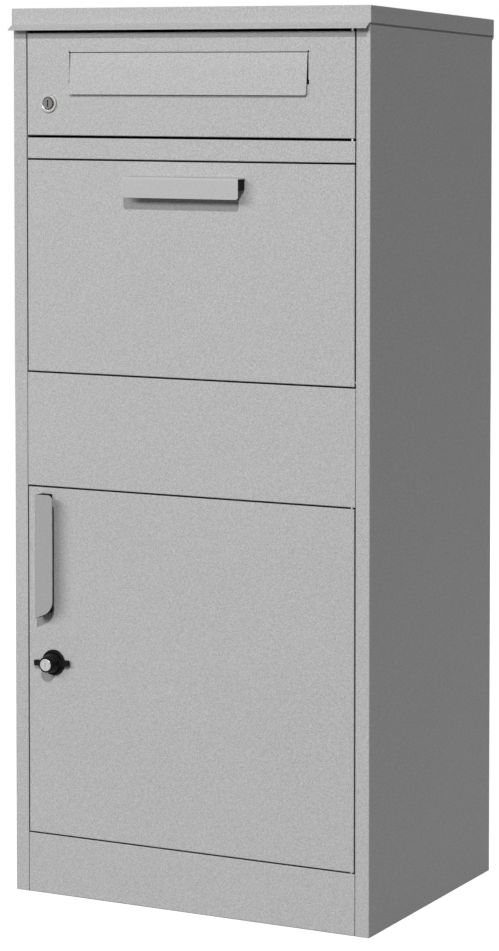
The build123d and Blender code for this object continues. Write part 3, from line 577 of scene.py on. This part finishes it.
def moulded(name, colour, roughness, relief, grain_size, specular):
    """Moulded plastic or rubber."""
    grain = (grain_size, 0.15, relief, roughness)
    return worn_and_highlighted(name, colour, grain, (0.0004, 0.25), PLASTIC_EDGE_WEAR_AND_HIGHLIGHT, Specular_IOR_Level=specular)[0]


def finish(name):
    """A shared material, built on first use."""
    if name in bpy.data.materials:
        return bpy.data.materials[name]
    scene = bpy.context.scene
    look = scene.dropbox_coat
    build, *values = {
        "textured_grey_coat": (
            coat, look.colour, look.grain_contrast, look.grain_relief, look.roughness, look.edge_wear_and_highlight
        ),
        "bright_zinc": (plated, scene.dropbox_fasteners.zinc, 0.34, 0.12),
        "satin_nickel": (plated, scene.dropbox_locks.nickel, 0.30, 0.04),
        "glossy_black_plastic": (moulded, scene.dropbox_locks.plastic, 0.35, 0.000004, 0.0005, 0.08),
        "matt_black_plastic": (moulded, (0.017, 0.017, 0.017), 0.75, 0.000006, 0.0005, 0.05),
        "black_rubber": (moulded, (0.022, 0.022, 0.022), 0.8, 0.00002, 0.0007, 0.2),
    }[name]
    return build(name, *values)


# ---------------------------------------------------------------- mesh code
class Outline:
    """Convex outline round the axis, from points in order, in millimetres."""

    def __init__(self, points):
        self.corners = [math.atan2(y, x) for x, y in points]
        self.sides = []
        for (x1, y1), (x2, y2) in zip(points, points[1:] + points[:1]):
            normal = Vector((y2 - y1, x1 - x2))
            if normal.length > 1e-9:
                normal.normalize()
                self.sides.append((normal, normal.dot(Vector((x1, y1)))))

    def radius(self, angle):
        """Distance from the axis to the outline at an angle."""
        ray = Vector((math.cos(angle), math.sin(angle)))
        return min(reach / normal.dot(ray) for normal, reach in self.sides if normal.dot(ray) > 1e-9)


class Circle:
    """Round outline."""

    corners = ()

    def __init__(self, diameter):
        self.half = diameter / 2

    def radius(self, angle):
        """Distance from the axis to the outline."""
        return self.half


class Either:
    """Outline that takes in two others."""

    def __init__(self, first, second, more_corners=()):
        self.parts = (first, second)
        self.corners = [*first.corners, *second.corners, *more_corners]

    def radius(self, angle):
        """Distance from the axis to the outer of the two outlines."""
        return max(part.radius(angle) for part in self.parts)


def bar(length, width, corner, turn=0.0, steps=4):
    """Rounded rectangle, turned about the axis."""
    points = []
    for side_x, side_y, start in ((1, 1, 0), (-1, 1, 90), (-1, -1, 180), (1, -1, 270)):
        centre = Vector((side_x * (length / 2 - corner), side_y * (width / 2 - corner)))
        for step in range(steps + 1):
            angle = math.radians(start + 90 * step / steps)
            point = centre + corner * Vector((math.cos(angle), math.sin(angle)))
            point.rotate(Matrix.Rotation(turn, 2))
            points.append(tuple(point))
    return Outline(points)


def hexagon(flats):
    """Hexagon with two corners on the X axis."""
    reach = flats / math.sqrt(3)
    return Outline([
        (reach * math.cos(math.radians(angle)), reach * math.sin(math.radians(angle)))
        for angle in range(0, 360, 60)
    ])


def cross(length, width):
    """Cross recess of a screw."""
    corners = [math.radians(angle) for angle in (45, 135, 225, 315)]
    upright = bar(width, length, width * 0.2, steps=1)
    return Either(bar(length, width, width * 0.2, steps=1), upright, corners)


def stack_rings(rings, steps=48, closed=False):
    """Mesh of outlines stacked along Z: rings are (level, outline, diameter or 0).

    A ring of 0 closes the mesh at a point; closed joins the last ring to the first.
    """
    outlines = [(level, shape if hasattr(shape, "radius") else Circle(shape)) for level, shape in rings]
    angles = {round(math.tau * step / steps, 5) for step in range(steps)}
    for _, shape in outlines:
        angles |= {round(corner % math.tau, 5) for corner in shape.corners}
    angles = sorted(angles)
    vertices = []
    loops = []
    for level, shape in outlines:
        if getattr(shape, "half", 1) == 0:
            loops.append([len(vertices)] * len(angles))
            vertices.append(Vector((0, 0, level)))
            continue
        loops.append(range(len(vertices), len(vertices) + len(angles)))
        for angle in angles:
            radius = shape.radius(angle)
            vertices.append(Vector((radius * math.cos(angle), radius * math.sin(angle), level)))
    pairs = list(zip(loops, loops[1:]))
    if closed:
        pairs.append((loops[-1], loops[0]))
    faces = []
    for low, high in pairs:
        for here in range(len(angles)):
            there = (here + 1) % len(angles)
            corners = dict.fromkeys((low[here], low[there], high[there], high[here]))
            if len(corners) > 2:
                faces.append(tuple(corners))
    return vertices, faces


def rounded_rings(level, outline, inset, rise, steps=3):
    """Rings that round an edge over from an outline: outline(inset) gives the outline moved in."""
    rings = []
    for step in range(steps + 1):
        angle = math.radians(90 * step / steps)
        rings.append((level + rise * math.sin(angle), outline(inset * (1 - math.cos(angle)))))
    return rings


def formed_sheet(stations):
    """Sheet bent along X: stations are (outer (y, z), inner (y, z), ends in X) along the profile."""
    vertices = []
    for outer, inner, ends in stations:
        for y, z in (outer, inner):
            vertices += [Vector((x, y, z)) for x in ends]
    faces = [(0, 1, 3, 2)]
    for index in range(len(stations) - 1):
        here = 4 * index
        there = here + 4
        faces += [
            (here, there, there + 1, here + 1),
            (here + 2, here + 3, there + 3, there + 2),
            (here, here + 2, there + 2, there),
            (here + 1, there + 1, there + 3, here + 3),
        ]
    last = 4 * (len(stations) - 1)
    faces.append((last, last + 2, last + 3, last + 1))
    return vertices, faces


def slab(low, high):
    """Block between two corners."""
    x_ends, y_ends, z_ends = zip(low, high)
    vertices = [Vector((x, y, z)) for x in x_ends for y in y_ends for z in z_ends]
    faces = [(0, 1, 3, 2), (4, 6, 7, 5), (0, 4, 5, 1), (2, 3, 7, 6), (0, 2, 6, 4), (1, 5, 7, 3)]
    return vertices, faces


def pointing(place, direction, across=Vector((1, 0, 0))):
    """Matrix that puts a mesh's Z along a direction from a place, with its X across."""
    z = Vector(direction).normalized()
    y = z.cross(across).normalized()
    x = y.cross(z)
    turn = Matrix((x, y, z)).transposed()
    return Matrix.Translation(place) @ turn.to_4x4()


def turned(rings, place, direction=FORWARD, across=Vector((1, 0, 0)), **options):
    """Part for make_piece: rings stacked along a direction from a place."""
    return stack_rings(rings, **options), pointing(place, direction, across)


def put_in_scene(name, data):
    """New object with its data."""
    made = bpy.data.objects.new(name, data)
    bpy.context.scene.collection.objects.link(made)
    return made


def make_piece(name, node, parts, material=None, soften=0.0, smooth_angle=32.0):
    """Object that stands for a CAD node and rides on its body, from (mesh, matrix) parts in millimetres.

    It has the usual finish of its slot if no material is given.
    """
    mesh = bpy.data.meshes.new(name)
    build = bmesh.new()
    for (vertices, faces), matrix in parts:
        made = [build.verts.new(MM * (matrix @ vertex)) for vertex in vertices]
        for face in faces:
            build.faces.new([made[index] for index in face])
    bmesh.ops.remove_doubles(build, verts=build.verts, dist=PIECE_WELD)
    bmesh.ops.recalc_face_normals(build, faces=build.faces)
    build.to_mesh(mesh)
    build.free()
    mesh.polygons.foreach_set("use_smooth", [True] * len(mesh.polygons))
    mesh.set_sharp_from_angle(angle=math.radians(smooth_angle))
    mesh.materials.append(material or finish(FINISH_OF[SLOT_OF[node]]))
    piece = put_in_scene(name, mesh)
    if soften:
        edges = piece.modifiers.new("Softened edges", "BEVEL")
        edges.width = soften * MM
        edges.segments = 3
        edges.limit_method = "ANGLE"
        edges.angle_limit = math.radians(smooth_angle)
        edges.harden_normals = True
    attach(piece, BODY_OF[node])
    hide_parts(node)


def dress(*slots):
    """Gives the CAD nodes of some slots their finish."""
    for node, slot in SLOT_OF.items():
        if slot in slots:
            mesh = frame["nodes"][node].data
            mesh.materials.clear()
            mesh.materials.append(finish(FINISH_OF[slot]))


# ---------------------------------------------------------------- sheet metal
class DROPBOX_OT_sheet_metal(Operator):
    """Coat the cabinet, hopper and doors"""

    bl_idname = "dropbox.sheet_metal"
    bl_label = "Coat Sheet Metal"

    def execute(self, context):
        dress("powder_coated_steel")
        return {"FINISHED"}


class DROPBOX_OT_plain_hardware(Operator):
    """Finish the hardware that keeps its frame shape"""

    bl_idname = "dropbox.plain_hardware"
    bl_label = "Finish Plain Hardware"

    def execute(self, context):
        dress("zinc_plated_steel", "nickel_plated_lock", "black_plastic", "rubber")
        return {"FINISHED"}


# ---------------------------------------------------------------- locks
KEYWAY = bar(8.0, 1.4, 0.2, turn=math.radians(90), steps=2)
KEYWAY_DEPTH = 4.0
KEY_SLOT = bar(6.0, 0.9, 0.2, turn=math.radians(90), steps=2)
KEY_SLOT_DEPTH = 1.2
WING_TURN = math.radians(3.5)
PLUG_BORE = 14.12
SPINDLE_BORE = 10.2


def threaded_tail(bore, end, diameter, depth):
    """Rings of a lock's tail: from its end inside the door, along its thread, to the door at level 0."""
    low, high = -19.6, -1.4
    pitch = bpy.context.scene.dropbox_fasteners.thread_pitch / MM
    root = diameter - 2 * depth
    rings = [(-20.0, bore), (-20.0, end)]
    for turn in range(int((high - low) / pitch)):
        for part, wide in ((0.12, root), (0.45, diameter), (0.55, diameter), (0.88, root)):
            rings.append((low + pitch * turn + part * pitch, wide))
    return [*rings, (-1.3, diameter), (0, diameter)]


def knob_shape():
    """Rings of the wing knob: a tapering barrel with two wings, and a bore for the key cylinder."""
    length, base, tip = 15.8, 23.0, 17.4
    span, thickness, corner = 46.0, 6.6, 1.5
    edge, rounding = 2.9, 0.8
    socket_depth, socket = 4.0, 10.1
    bore_end, bore = length - 9.06, 13.92

    def barrel(level):
        return base + (tip - base) * level / length

    def winged(level, inset=0.0):
        wings = bar(span - 2 * inset, thickness - 2 * inset, corner, WING_TURN)
        half = barrel(level) / 2
        meet = math.asin((thickness / 2 - inset) / half)
        creases = [WING_TURN + side + turn for side in (0, math.pi) for turn in (-meet, meet)]
        return Either(wings, Circle(2 * half), creases)

    groove = length - bpy.context.scene.dropbox_locks.tip_ring / MM
    top = edge + rounding
    return [
        (socket_depth, 0), (socket_depth, socket), (0, socket), (0, winged(0, 0.4)), (0.4, winged(0.4)),
        (2.0, winged(2.0)),
        *rounded_rings(edge, lambda inset: winged(edge + rounding / 2, inset), rounding, rounding),
        (top, barrel(top)), (groove - 0.7, barrel(groove - 0.7)), (groove - 0.5, barrel(groove) - 0.7),
        (groove - 0.2, barrel(groove) - 0.7), (groove, barrel(groove)), (length - 0.5, barrel(length - 0.5)),
        (length - 0.15, tip - 0.35), (length, tip - 1.1), (length, 14.6), (length - 0.3, bore),
        (bore_end, bore), (bore_end, 0),
    ]


class DROPBOX_OT_wing_knob(Operator):
    """Model the lower door's winged knob"""

    bl_idname = "dropbox.wing_knob"
    bl_label = "Add Wing Knob"

    def execute(self, context):
        make_piece(
            "moulded_wing_knob", "wing_knob",
            [turned(knob_shape(), rear_middle("wing_knob"), steps=72)], smooth_angle=28,
        )
        return {"FINISHED"}


class DROPBOX_OT_knob_rosette(Operator):
    """Model the knob's round foot with its ring groove and threaded tail"""

    bl_idname = "dropbox.knob_rosette"
    bl_label = "Add Knob Rosette"

    def execute(self, context):
        rings = [
            *threaded_tail(SPINDLE_BORE, 16.6, 18.0, 0.7),
            (0, 29.0), (2.2, 29.0), (2.8, 27.8), (2.95, 27.2), (3.0, 26.6), (3.0, 25.0),
            (2.8, 24.6), (2.3, 24.4), (2.2, 24.1), (2.2, SPINDLE_BORE),
        ]
        place = on_face("knob_rosette", "lower_door")
        make_piece(
            "turned_knob_rosette", "knob_rosette", [turned(rings, place, steps=72, closed=True)]
        )
        return {"FINISHED"}


class DROPBOX_OT_key_cylinder(Operator):
    """Model the key cylinder in the knob's tip"""

    bl_idname = "dropbox.key_cylinder"
    bl_label = "Add Key Cylinder"

    def execute(self, context):
        place = rear_middle("key_cylinder")
        top = depth_of("key_cylinder")
        rings = [
            (0, 0), (0, 13.8), (top - 0.35, 13.8), (top - 0.1, 13.4), (top, 12.9), (top, 10.9),
            (top - 0.3, 10.6), (top - 0.3, 10.2), (top, 9.9), (top, KEY_SLOT),
            (top - KEY_SLOT_DEPTH, KEY_SLOT), (top - KEY_SLOT_DEPTH, 0),
        ]
        make_piece(
            "keyed_cylinder", "key_cylinder", [turned(rings, place)],
            turned_metal("turned_nickel", context.scene.dropbox_locks.cylinder, place, 0.3),
        )
        return {"FINISHED"}


class DROPBOX_OT_letter_lock(Operator):
    """Model the letter door's lock housing and its turning plug"""

    bl_idname = "dropbox.letter_lock"
    bl_label = "Add Letter Lock"

    def execute(self, context):
        rings = [
            *threaded_tail(PLUG_BORE, 15.4, 16.0, 0.5),
            (0, 20.0), (2.3, 20.0), (2.5, 19.7), (2.5, 19.4), (2.5, 16.0), (2.5, 15.7), (2.35, 15.1),
            (2.0, 14.5), (1.6, PLUG_BORE),
        ]
        make_piece(
            "letter_lock_housing", "letter_lock_body",
            [turned(rings, on_face("letter_lock_body", "letter_door"), closed=True)],
        )
        place = rear_middle("letter_lock_plug")
        top = depth_of("letter_lock_plug")
        rings = [
            (0, 0), (0, 14.0), (top - 2.2, 14.0), (top - 2.2, 12.6), (top - 0.3, 12.4), (top, 11.9),
            (top, KEYWAY), (top - KEYWAY_DEPTH, KEYWAY), (top - KEYWAY_DEPTH, 0),
        ]
        make_piece(
            "letter_lock_keyed_plug", "letter_lock_plug", [turned(rings, place)],
            turned_metal("dull_turned_metal", context.scene.dropbox_locks.plug, place, 0.42),
        )
        return {"FINISHED"}


class DROPBOX_OT_lock_nuts(Operator):
    """Model the chamfered hexagon nuts on the locks' tails"""

    bl_idname = "dropbox.lock_nuts"
    bl_label = "Add Lock Nuts"

    def execute(self, context):
        for node, bore in (("letter_lock_nut", 16.1), ("lower_lock_nut", 18.1)):
            low, high = box_mm(node)
            rings = nut_rings(high.x - low.x, high.y - low.y, bore)
            parts = [turned(rings, middle(node), BACKWARD, UP, closed=True)]
            make_piece("chamfered_" + node, node, parts)
        return {"FINISHED"}


# ---------------------------------------------------------------- handles
class PlateEnd:
    """End of a plate: cut back at the bend, slanting across it, with a rounded free corner."""

    def __init__(self, width, corner, cut=0.0, slant=0.0):
        self.corner, self.cut, self.rise = corner, cut, math.tan(slant)
        self.middle = width - corner
        self.bottom = cut + self.rise * self.middle + corner / math.cos(slant)
        self.turn = self.middle + corner * math.sin(slant)
        angles = [slant + (math.pi / 2 - slant) * step / 9 for step in range(10)]
        self.rows = {self.middle + corner * math.sin(angle) for angle in angles}

    def back(self, y):
        """How far the end is cut back at a place across the plate."""
        if y <= self.turn:
            return self.cut + self.rise * y
        return self.bottom - math.sqrt(max(0, self.corner ** 2 - (y - self.middle) ** 2))


def grip_shape(length, width, standoff, low_end, high_end):
    """Bent-sheet grip: X along it, Y across the plate from the web's outer face, Z out of the door."""
    bend = bpy.context.scene.dropbox_handles.bend_radius / MM
    half = length / 2

    def ends(y):
        return low_end.back(y) - half, half - high_end.back(y)

    stations = [((0, z), (SHEET, z), ends(0)) for z in (0, standoff / 2)]
    for step in range(7):
        angle = math.radians(15 * step)
        outer, inner = (
            (bend - radius * math.cos(angle), standoff - bend + radius * math.sin(angle))
            for radius in (bend, bend - SHEET)
        )
        stations.append((outer, inner, ends(max(outer[0], 0))))
    for y in sorted({width * 0.2} | low_end.rows | high_end.rows):
        stations.append(((y, standoff), (y, standoff - SHEET), ends(y)))
    return formed_sheet(stations)


class DROPBOX_OT_drop_handle(Operator):
    """Model the bent-sheet handle of the drop door"""

    bl_idname = "dropbox.drop_handle"
    bl_label = "Add Drop Door Handle"

    def execute(self, context):
        settings = context.scene.dropbox_handles
        low, high = box_mm("drop_handle")
        size = high - low
        place = Vector(((low.x + high.x) / 2, high.y, high.z))
        end = PlateEnd(size.z, settings.upper_corner / MM)
        grip = grip_shape(size.x, size.z, size.y, end, end)
        # The drop handle's coat is painted lighter, as painted light
        make_piece(
            "bent_drop_handle", "drop_handle",
            [(grip, pointing(place, FORWARD, Vector((-1, 0, 0))))],
            handle_coat("lit_smooth_coat_drop_handle", settings.upper_lit_colour), SHEET_ROUNDING,
        )
        return {"FINISHED"}


class DROPBOX_OT_lower_handle(Operator):
    """Model the lower door's bent-sheet handle, with a foot that covers its lower screw"""

    bl_idname = "dropbox.lower_handle"
    bl_label = "Add Lower Door Handle"

    def execute(self, context):
        settings = context.scene.dropbox_handles
        low, high = box_mm("lower_handle")
        size = high - low
        place = Vector((low.x, high.y, (low.z + high.z) / 2))
        top = PlateEnd(size.x, settings.top_corner / MM)
        bottom = PlateEnd(
            size.x, settings.bottom_corner / MM, settings.bottom_cut / MM, settings.bottom_slant
        )
        grip = grip_shape(size.z, size.x, size.y, top, bottom)
        foot_thickness, foot_width, foot_z = 0.8, 12.0, (low.z + 0.5, low.z + 9.0)
        foot = slab(
            (low.x + SHEET, high.y - foot_thickness, foot_z[0]), (low.x + foot_width, high.y, foot_z[1])
        )
        # The lower handle's coat is painted darker, as painted shade
        make_piece(
            "bent_lower_handle", "lower_handle",
            [(grip, pointing(place, FORWARD, -UP)), (foot, STILL)],
            handle_coat("shaded_smooth_coat_lower_handle", settings.lower_shaded_colour), SHEET_ROUNDING,
        )
        return {"FINISHED"}


class DROPBOX_OT_handle_blocks(Operator):
    """Model the plastic blocks in the ends of the handles"""

    bl_idname = "dropbox.handle_blocks"
    bl_label = "Add Handle Blocks"

    def execute(self, context):
        for node in ("drop_handle_blocks", "lower_handle_blocks"):
            blocks = sorted(solids(node), key=lambda block: block[0].z)
            if node == "lower_handle_blocks":
                low, high = blocks[0]
                clear_of_slant = Vector((0, 0, high.z - low.z))
                blocks[0] = (low + clear_of_slant, high + clear_of_slant)
            make_piece(
                "moulded_" + node, node, [(slab(low, high), STILL) for low, high in blocks],
                finish("matt_black_plastic"), soften=0.5,
            )
        return {"FINISHED"}


# ---------------------------------------------------------------- letter flap
class DROPBOX_OT_letter_flap(Operator):
    """Model the letter flap: a sheet rolled round its rod, with rounded lower corners"""

    bl_idname = "dropbox.letter_flap"
    bl_label = "Add Letter Flap"

    def execute(self, context):
        settings = context.scene.dropbox_flap
        low, high = box_mm("letter_flap")
        axis = middle("flap_hinge_rod")
        outer = high.z - axis.z
        inner = outer - SHEET
        half = (high.x - low.x) / 2 - settings.side_gap / MM
        drop = math.sqrt(math.hypot(axis.z - low.z, axis.y - low.y) ** 2 - outer ** 2)
        lean = math.atan2(axis.y - low.y, axis.z - low.z) - math.atan2(outer, drop) + settings.extra_lean
        corner = settings.corner / MM
        stations = []
        rows = [corner * (1 - math.cos(math.radians(10 * step))) for step in range(10)]
        for rise in [*rows, drop * 0.3, drop * 0.6]:
            back = corner - math.sqrt(corner ** 2 - (corner - rise) ** 2) if rise < corner else 0
            z = rise - drop
            stations.append(((-outer, z), (-inner, z), (back - half, half - back)))
        for step in range(26):
            angle = math.radians(12 * step)
            spots = [(-radius * math.cos(angle), radius * math.sin(angle)) for radius in (outer, inner)]
            stations.append((*spots, (-half, half)))
        axis.x = (low.x + high.x) / 2
        place = Matrix.Translation(axis) @ Matrix.Rotation(-lean, 4, "X")
        parts = [(formed_sheet(stations), place)]
        make_piece("rolled_letter_flap", "letter_flap", parts, soften=SHEET_ROUNDING)
        return {"FINISHED"}


# ---------------------------------------------------------------- fasteners
def nut_rings(flats, height, bore):
    """Rings of a hexagon nut with chamfered corners, round its middle."""
    half = height / 2
    chamfer = flats * 0.05
    six = hexagon(flats)
    return [
        (-half, bore), (-half, flats * 0.94), (chamfer - half, six), (half - chamfer, six),
        (half, flats * 0.94), (half, bore),
    ]


def screw(low, high, head, rise, depth=None):
    """Pan-head screw with a cross recess in a solid's box; its head faces back."""
    shank = 4.0
    wide, narrow = head * 0.56, head * 0.14
    place = (low + high) / 2
    place.y = high.y - rise
    depth = depth or place.y - low.y
    rings = [
        (-depth, 0), (-depth, shank * 0.5), (-depth + shank * 0.3, shank), (0, shank), (0, head),
        (rise * 0.45, head), (rise * 0.75, head * 0.93), (rise * 0.95, head * 0.78), (rise, head * 0.62),
        (rise, cross(wide, narrow)), (rise * 0.45, cross(wide * 0.7, narrow * 0.8)), (rise * 0.45, 0),
    ]
    return turned(rings, place, BACKWARD)


def rivet(place, length, direction, across):
    """Blind rivet with its mandrel hole; its place is under its head."""
    tail = RIVET_HEAD - length
    rings = [
        (tail, 0), (tail, 3.4), (tail + 0.4, 4.6), (tail + 1.1, 4.6), (tail + 1.5, 3.2), (0, 3.2),
        (0, 6.5), (0.25, 6.5), (0.7, 5.9), (1.05, 4.4), (RIVET_HEAD, 3.0), (RIVET_HEAD, 2.0),
        (0.9, 1.8), (0.6, 1.7), (0.6, 0),
    ]
    return turned(rings, place, direction, across, steps=24)


class DROPBOX_OT_screws(Operator):
    """Model the pan-head screws of the handles and the lock cams"""

    bl_idname = "dropbox.screws"
    bl_label = "Add Screws"

    def execute(self, context):
        for node, head, rise in (
            ("drop_handle_screws", 8.0, 2.5), ("lower_handle_screws", 8.0, 2.5),
            ("letter_cam_screw", 7.0, 2.2), ("lower_cam_screw", 7.0, 2.2),
        ):
            lowest = box_mm(node)[0].z
            parts = []
            for low, high in solids(node):
                under_foot = node == "lower_handle_screws" and low.z < lowest + 1
                parts.append(screw(low, high, head, rise, SHEET if under_foot else None))
            make_piece("pan_head_" + node, node, parts)
        return {"FINISHED"}


class DROPBOX_OT_lid_nuts(Operator):
    """Model the nuts under the lid, square to its slope"""

    bl_idname = "dropbox.lid_nuts"
    bl_label = "Add Lid Nuts"

    def execute(self, context):
        slope = context.scene.dropbox_fasteners.lid_slope
        upright = Vector((0, math.sin(slope), math.cos(slope)))
        rings = nut_rings(8.0, 4.0, 5.1)
        parts = [turned(rings, (low + high) / 2, upright, closed=True) for low, high in solids("lid_nuts")]
        make_piece("chamfered_lid_nuts", "lid_nuts", parts)
        return {"FINISHED"}


class DROPBOX_OT_rivets(Operator):
    """Model the blind rivets of the back, the fixed panels and the hopper"""

    bl_idname = "dropbox.rivets"
    bl_label = "Add Rivets"

    def execute(self, context):
        for node, build in (
            ("rear_rivets", self.facing_back), ("panel_rivets", self.facing_in),
            ("hopper_rivets", self.facing_in),
        ):
            parts = [build((low + high) / 2, low, high) for low, high in solids(node)]
            make_piece("domed_" + node, node, parts)
        return {"FINISHED"}

    def facing_back(self, place, low, high):
        """Rivet of the rear panel, with its head outside."""
        place.y = high.y - RIVET_HEAD
        return rivet(place, high.y - low.y, BACKWARD, Vector((1, 0, 0)))

    def facing_in(self, place, low, high):
        """Rivet of a side, with its head inside."""
        inward = -1 if place.x > 0 else 1
        place.x = (low.x if inward < 0 else high.x) - inward * RIVET_HEAD
        return rivet(place, high.x - low.x, (inward, 0, 0), UP)


class DROPBOX_OT_door_pins(Operator):
    """Model the hinge pins of the two side-hung doors"""

    bl_idname = "dropbox.door_pins"
    bl_label = "Add Door Pins"

    def execute(self, context):
        parts = []
        for low, high in solids("door_pins"):
            wide = high.x - low.x
            half = (high.z - low.z) / 2
            rings = [
                (-half, 0), (-half, wide - 0.8), (0.4 - half, wide), (half - 0.4, wide),
                (half, wide - 0.8), (half, 0),
            ]
            parts.append(turned(rings, (low + high) / 2, UP, steps=32))
        make_piece("chamfered_door_pins", "door_pins", parts)
        return {"FINISHED"}


class DROPBOX_OT_door_buffers(Operator):
    """Model the rubber pads behind the doors"""

    bl_idname = "dropbox.door_buffers"
    bl_label = "Add Door Buffers"

    def execute(self, context):
        parts = [(slab(low, high), STILL) for low, high in solids("door_buffers")]
        make_piece("soft_door_buffers", "door_buffers", parts, soften=0.7)
        return {"FINISHED"}


# ---------------------------------------------------------------- studio
FLOOR_REACH = 20
VIEW_REACH = 100
SENSOR_WIDTH = 36
KEY_PLACE = (1.6, -3.8, 2.8)
FILL_SIZE = (4.6, 1.0)
BACK_SIZE = (3.0, 2.5)


def white_light(tree, kind, strength):
    """White Emission or Background shader."""
    return add_node(tree, kind, {"Color": WHITE, "Strength": strength})[0]


class DROPBOX_OT_studio(Operator):
    """Set up the floor, lights and camera"""

    bl_idname = "dropbox.studio"
    bl_label = "Set Up Studio"

    def execute(self, context):
        settings = context.scene.dropbox_studio
        self.add_floor(settings)
        self.add_lights(settings)
        self.set_world(settings)
        self.add_camera(settings)
        context.scene.view_settings.view_transform = "Standard"
        return {"FINISHED"}

    def add_floor(self, settings):
        mesh = bpy.data.meshes.new("studio_floor")
        build = bmesh.new()
        bmesh.ops.create_grid(build, x_segments=8, y_segments=8, size=FLOOR_REACH)
        build.to_mesh(mesh)
        build.free()
        put_in_scene("studio_floor", mesh)
        material, tree, shader = new_material(
            "pale_floor", settings.floor_colour, Roughness=0.9, Specular_IOR_Level=0.1
        )
        shade = spread(tree, noise(tree, object_place(tree), 1.5, detail=3.0), 0.3, 0.7, 0.985, 1.015)
        tinted = scaled(tree, tuple(settings.floor_colour), shade)
        tree.links.new(tinted, shader.inputs["Base Color"])
        rays = add_node(tree, "LightPath")
        direct = math_node(tree, "ADD", rays["Is Camera Ray"], rays["Is Glossy Ray"])
        seen = math_node(tree, "ADD", direct, rays["Is Transmission Ray"], clamp=True)
        glow = white_light(tree, "Emission", multiply(tree, seen, settings.floor_glow))
        both = add_node(tree, "AddShader", {0: shader.outputs[0], 1: glow})
        tree.links.new(both[0], tree.nodes["Material Output"].inputs["Surface"])
        mesh.materials.append(material)

    def add_lights(self, settings):
        key = bpy.data.lights.new("key_light", "SUN")
        key.energy = settings.key_level
        key.angle = settings.key_angle
        self.place_light(key, KEY_PLACE, Vector(settings.key_direction))
        box_middle = (cad_bounds[0] + cad_bounds[1]) / 2
        for name, level, place, size in (
            ("fill_light", settings.fill_level, settings.fill_place, FILL_SIZE),
            ("back_light", settings.back_level, settings.back_place, BACK_SIZE),
        ):
            light = bpy.data.lights.new(name, "AREA")
            light.shape = "RECTANGLE"
            light.size, light.size_y = size
            light.energy = level
            self.place_light(light, place, Vector(place) - box_middle)

    def place_light(self, light, place, towards):
        lamp = put_in_scene(light.name, light)
        lamp.location = place
        lamp.rotation_euler = towards.to_track_quat("Z", "Y").to_euler()

    def set_world(self, settings):
        world = bpy.data.worlds.new("studio_world")
        world.use_nodes = True
        tree = world.node_tree
        tree.nodes.clear()
        rays = add_node(tree, "LightPath")
        seen = math_node(tree, "ADD", rays["Is Camera Ray"], rays["Is Transmission Ray"], clamp=True)
        ray = add_node(tree, "TexCoord")["Generated"]
        height = add_node(tree, "SeparateXYZ", {0: ray})[2]
        level = spread(tree, height, 0.1, 0.75, settings.reflection_level, settings.ceiling_level)
        room, shine, backdrop = (
            white_light(tree, "Background", strength) for strength in (settings.world_level, level, 1.0)
        )
        inside = add_node(tree, "MixShader", {0: rays["Is Glossy Ray"], 1: room, 2: shine})[0]
        mixed = add_node(tree, "MixShader", {0: seen, 1: inside, 2: backdrop})[0]
        tree.links.new(mixed, tree.nodes.new("ShaderNodeOutputWorld").inputs["Surface"])
        bpy.context.scene.world = world

    def add_camera(self, settings):
        data = bpy.data.cameras.new("studio_camera")
        data.lens = settings.lens
        data.sensor_width = SENSOR_WIDTH
        data.shift_y = settings.camera_shift
        data.clip_end = VIEW_REACH
        camera = put_in_scene("studio_camera", data)
        camera.location = settings.camera_place
        camera.rotation_euler = (math.radians(90) - settings.camera_pitch, 0, settings.camera_yaw)
        bpy.context.scene.camera = camera


# ---------------------------------------------------------------- sidebar
class DROPBOX_PT_panel(Panel):
    """Drop box tools"""

    bl_label = "Drop Box"
    bl_idname = "DROPBOX_PT_panel"
    bl_space_type = "VIEW_3D"
    bl_region_type = "UI"
    bl_category = "Drop Box"

    def draw(self, context):
        for name, group in SETTINGS.items():
            box = self.layout.box()
            box.label(text=group.__doc__)
            for key in group.__annotations__:
                box.prop(getattr(context.scene, name), key)
        for operator in OPERATORS:
            self.layout.operator(operator.bl_idname)


OPERATORS = (
    DROPBOX_OT_sheet_metal,
    DROPBOX_OT_plain_hardware,
    DROPBOX_OT_wing_knob,
    DROPBOX_OT_knob_rosette,
    DROPBOX_OT_key_cylinder,
    DROPBOX_OT_letter_lock,
    DROPBOX_OT_lock_nuts,
    DROPBOX_OT_drop_handle,
    DROPBOX_OT_lower_handle,
    DROPBOX_OT_handle_blocks,
    DROPBOX_OT_letter_flap,
    DROPBOX_OT_screws,
    DROPBOX_OT_lid_nuts,
    DROPBOX_OT_rivets,
    DROPBOX_OT_door_pins,
    DROPBOX_OT_door_buffers,
    DROPBOX_OT_studio,
)


def register():
    for group in SETTINGS.values():
        bpy.utils.register_class(group)
    for name, group in SETTINGS.items():
        setattr(bpy.types.Scene, name, PointerProperty(type=group))
    for operator in OPERATORS:
        bpy.utils.register_class(operator)
    bpy.utils.register_class(DROPBOX_PT_panel)


def unregister():
    bpy.utils.unregister_class(DROPBOX_PT_panel)
    for operator in reversed(OPERATORS):
        bpy.utils.unregister_class(operator)
    for name in SETTINGS:
        delattr(bpy.types.Scene, name)
    for group in SETTINGS.values():
        bpy.utils.unregister_class(group)


def main():
    """Builds everything in order."""
    register()
    for operator in OPERATORS:
        category, name = operator.bl_idname.split(".")
        getattr(getattr(bpy.ops, category), name)()
    bpy.context.view_layer.update()


if __name__ == "__main__":
    main()
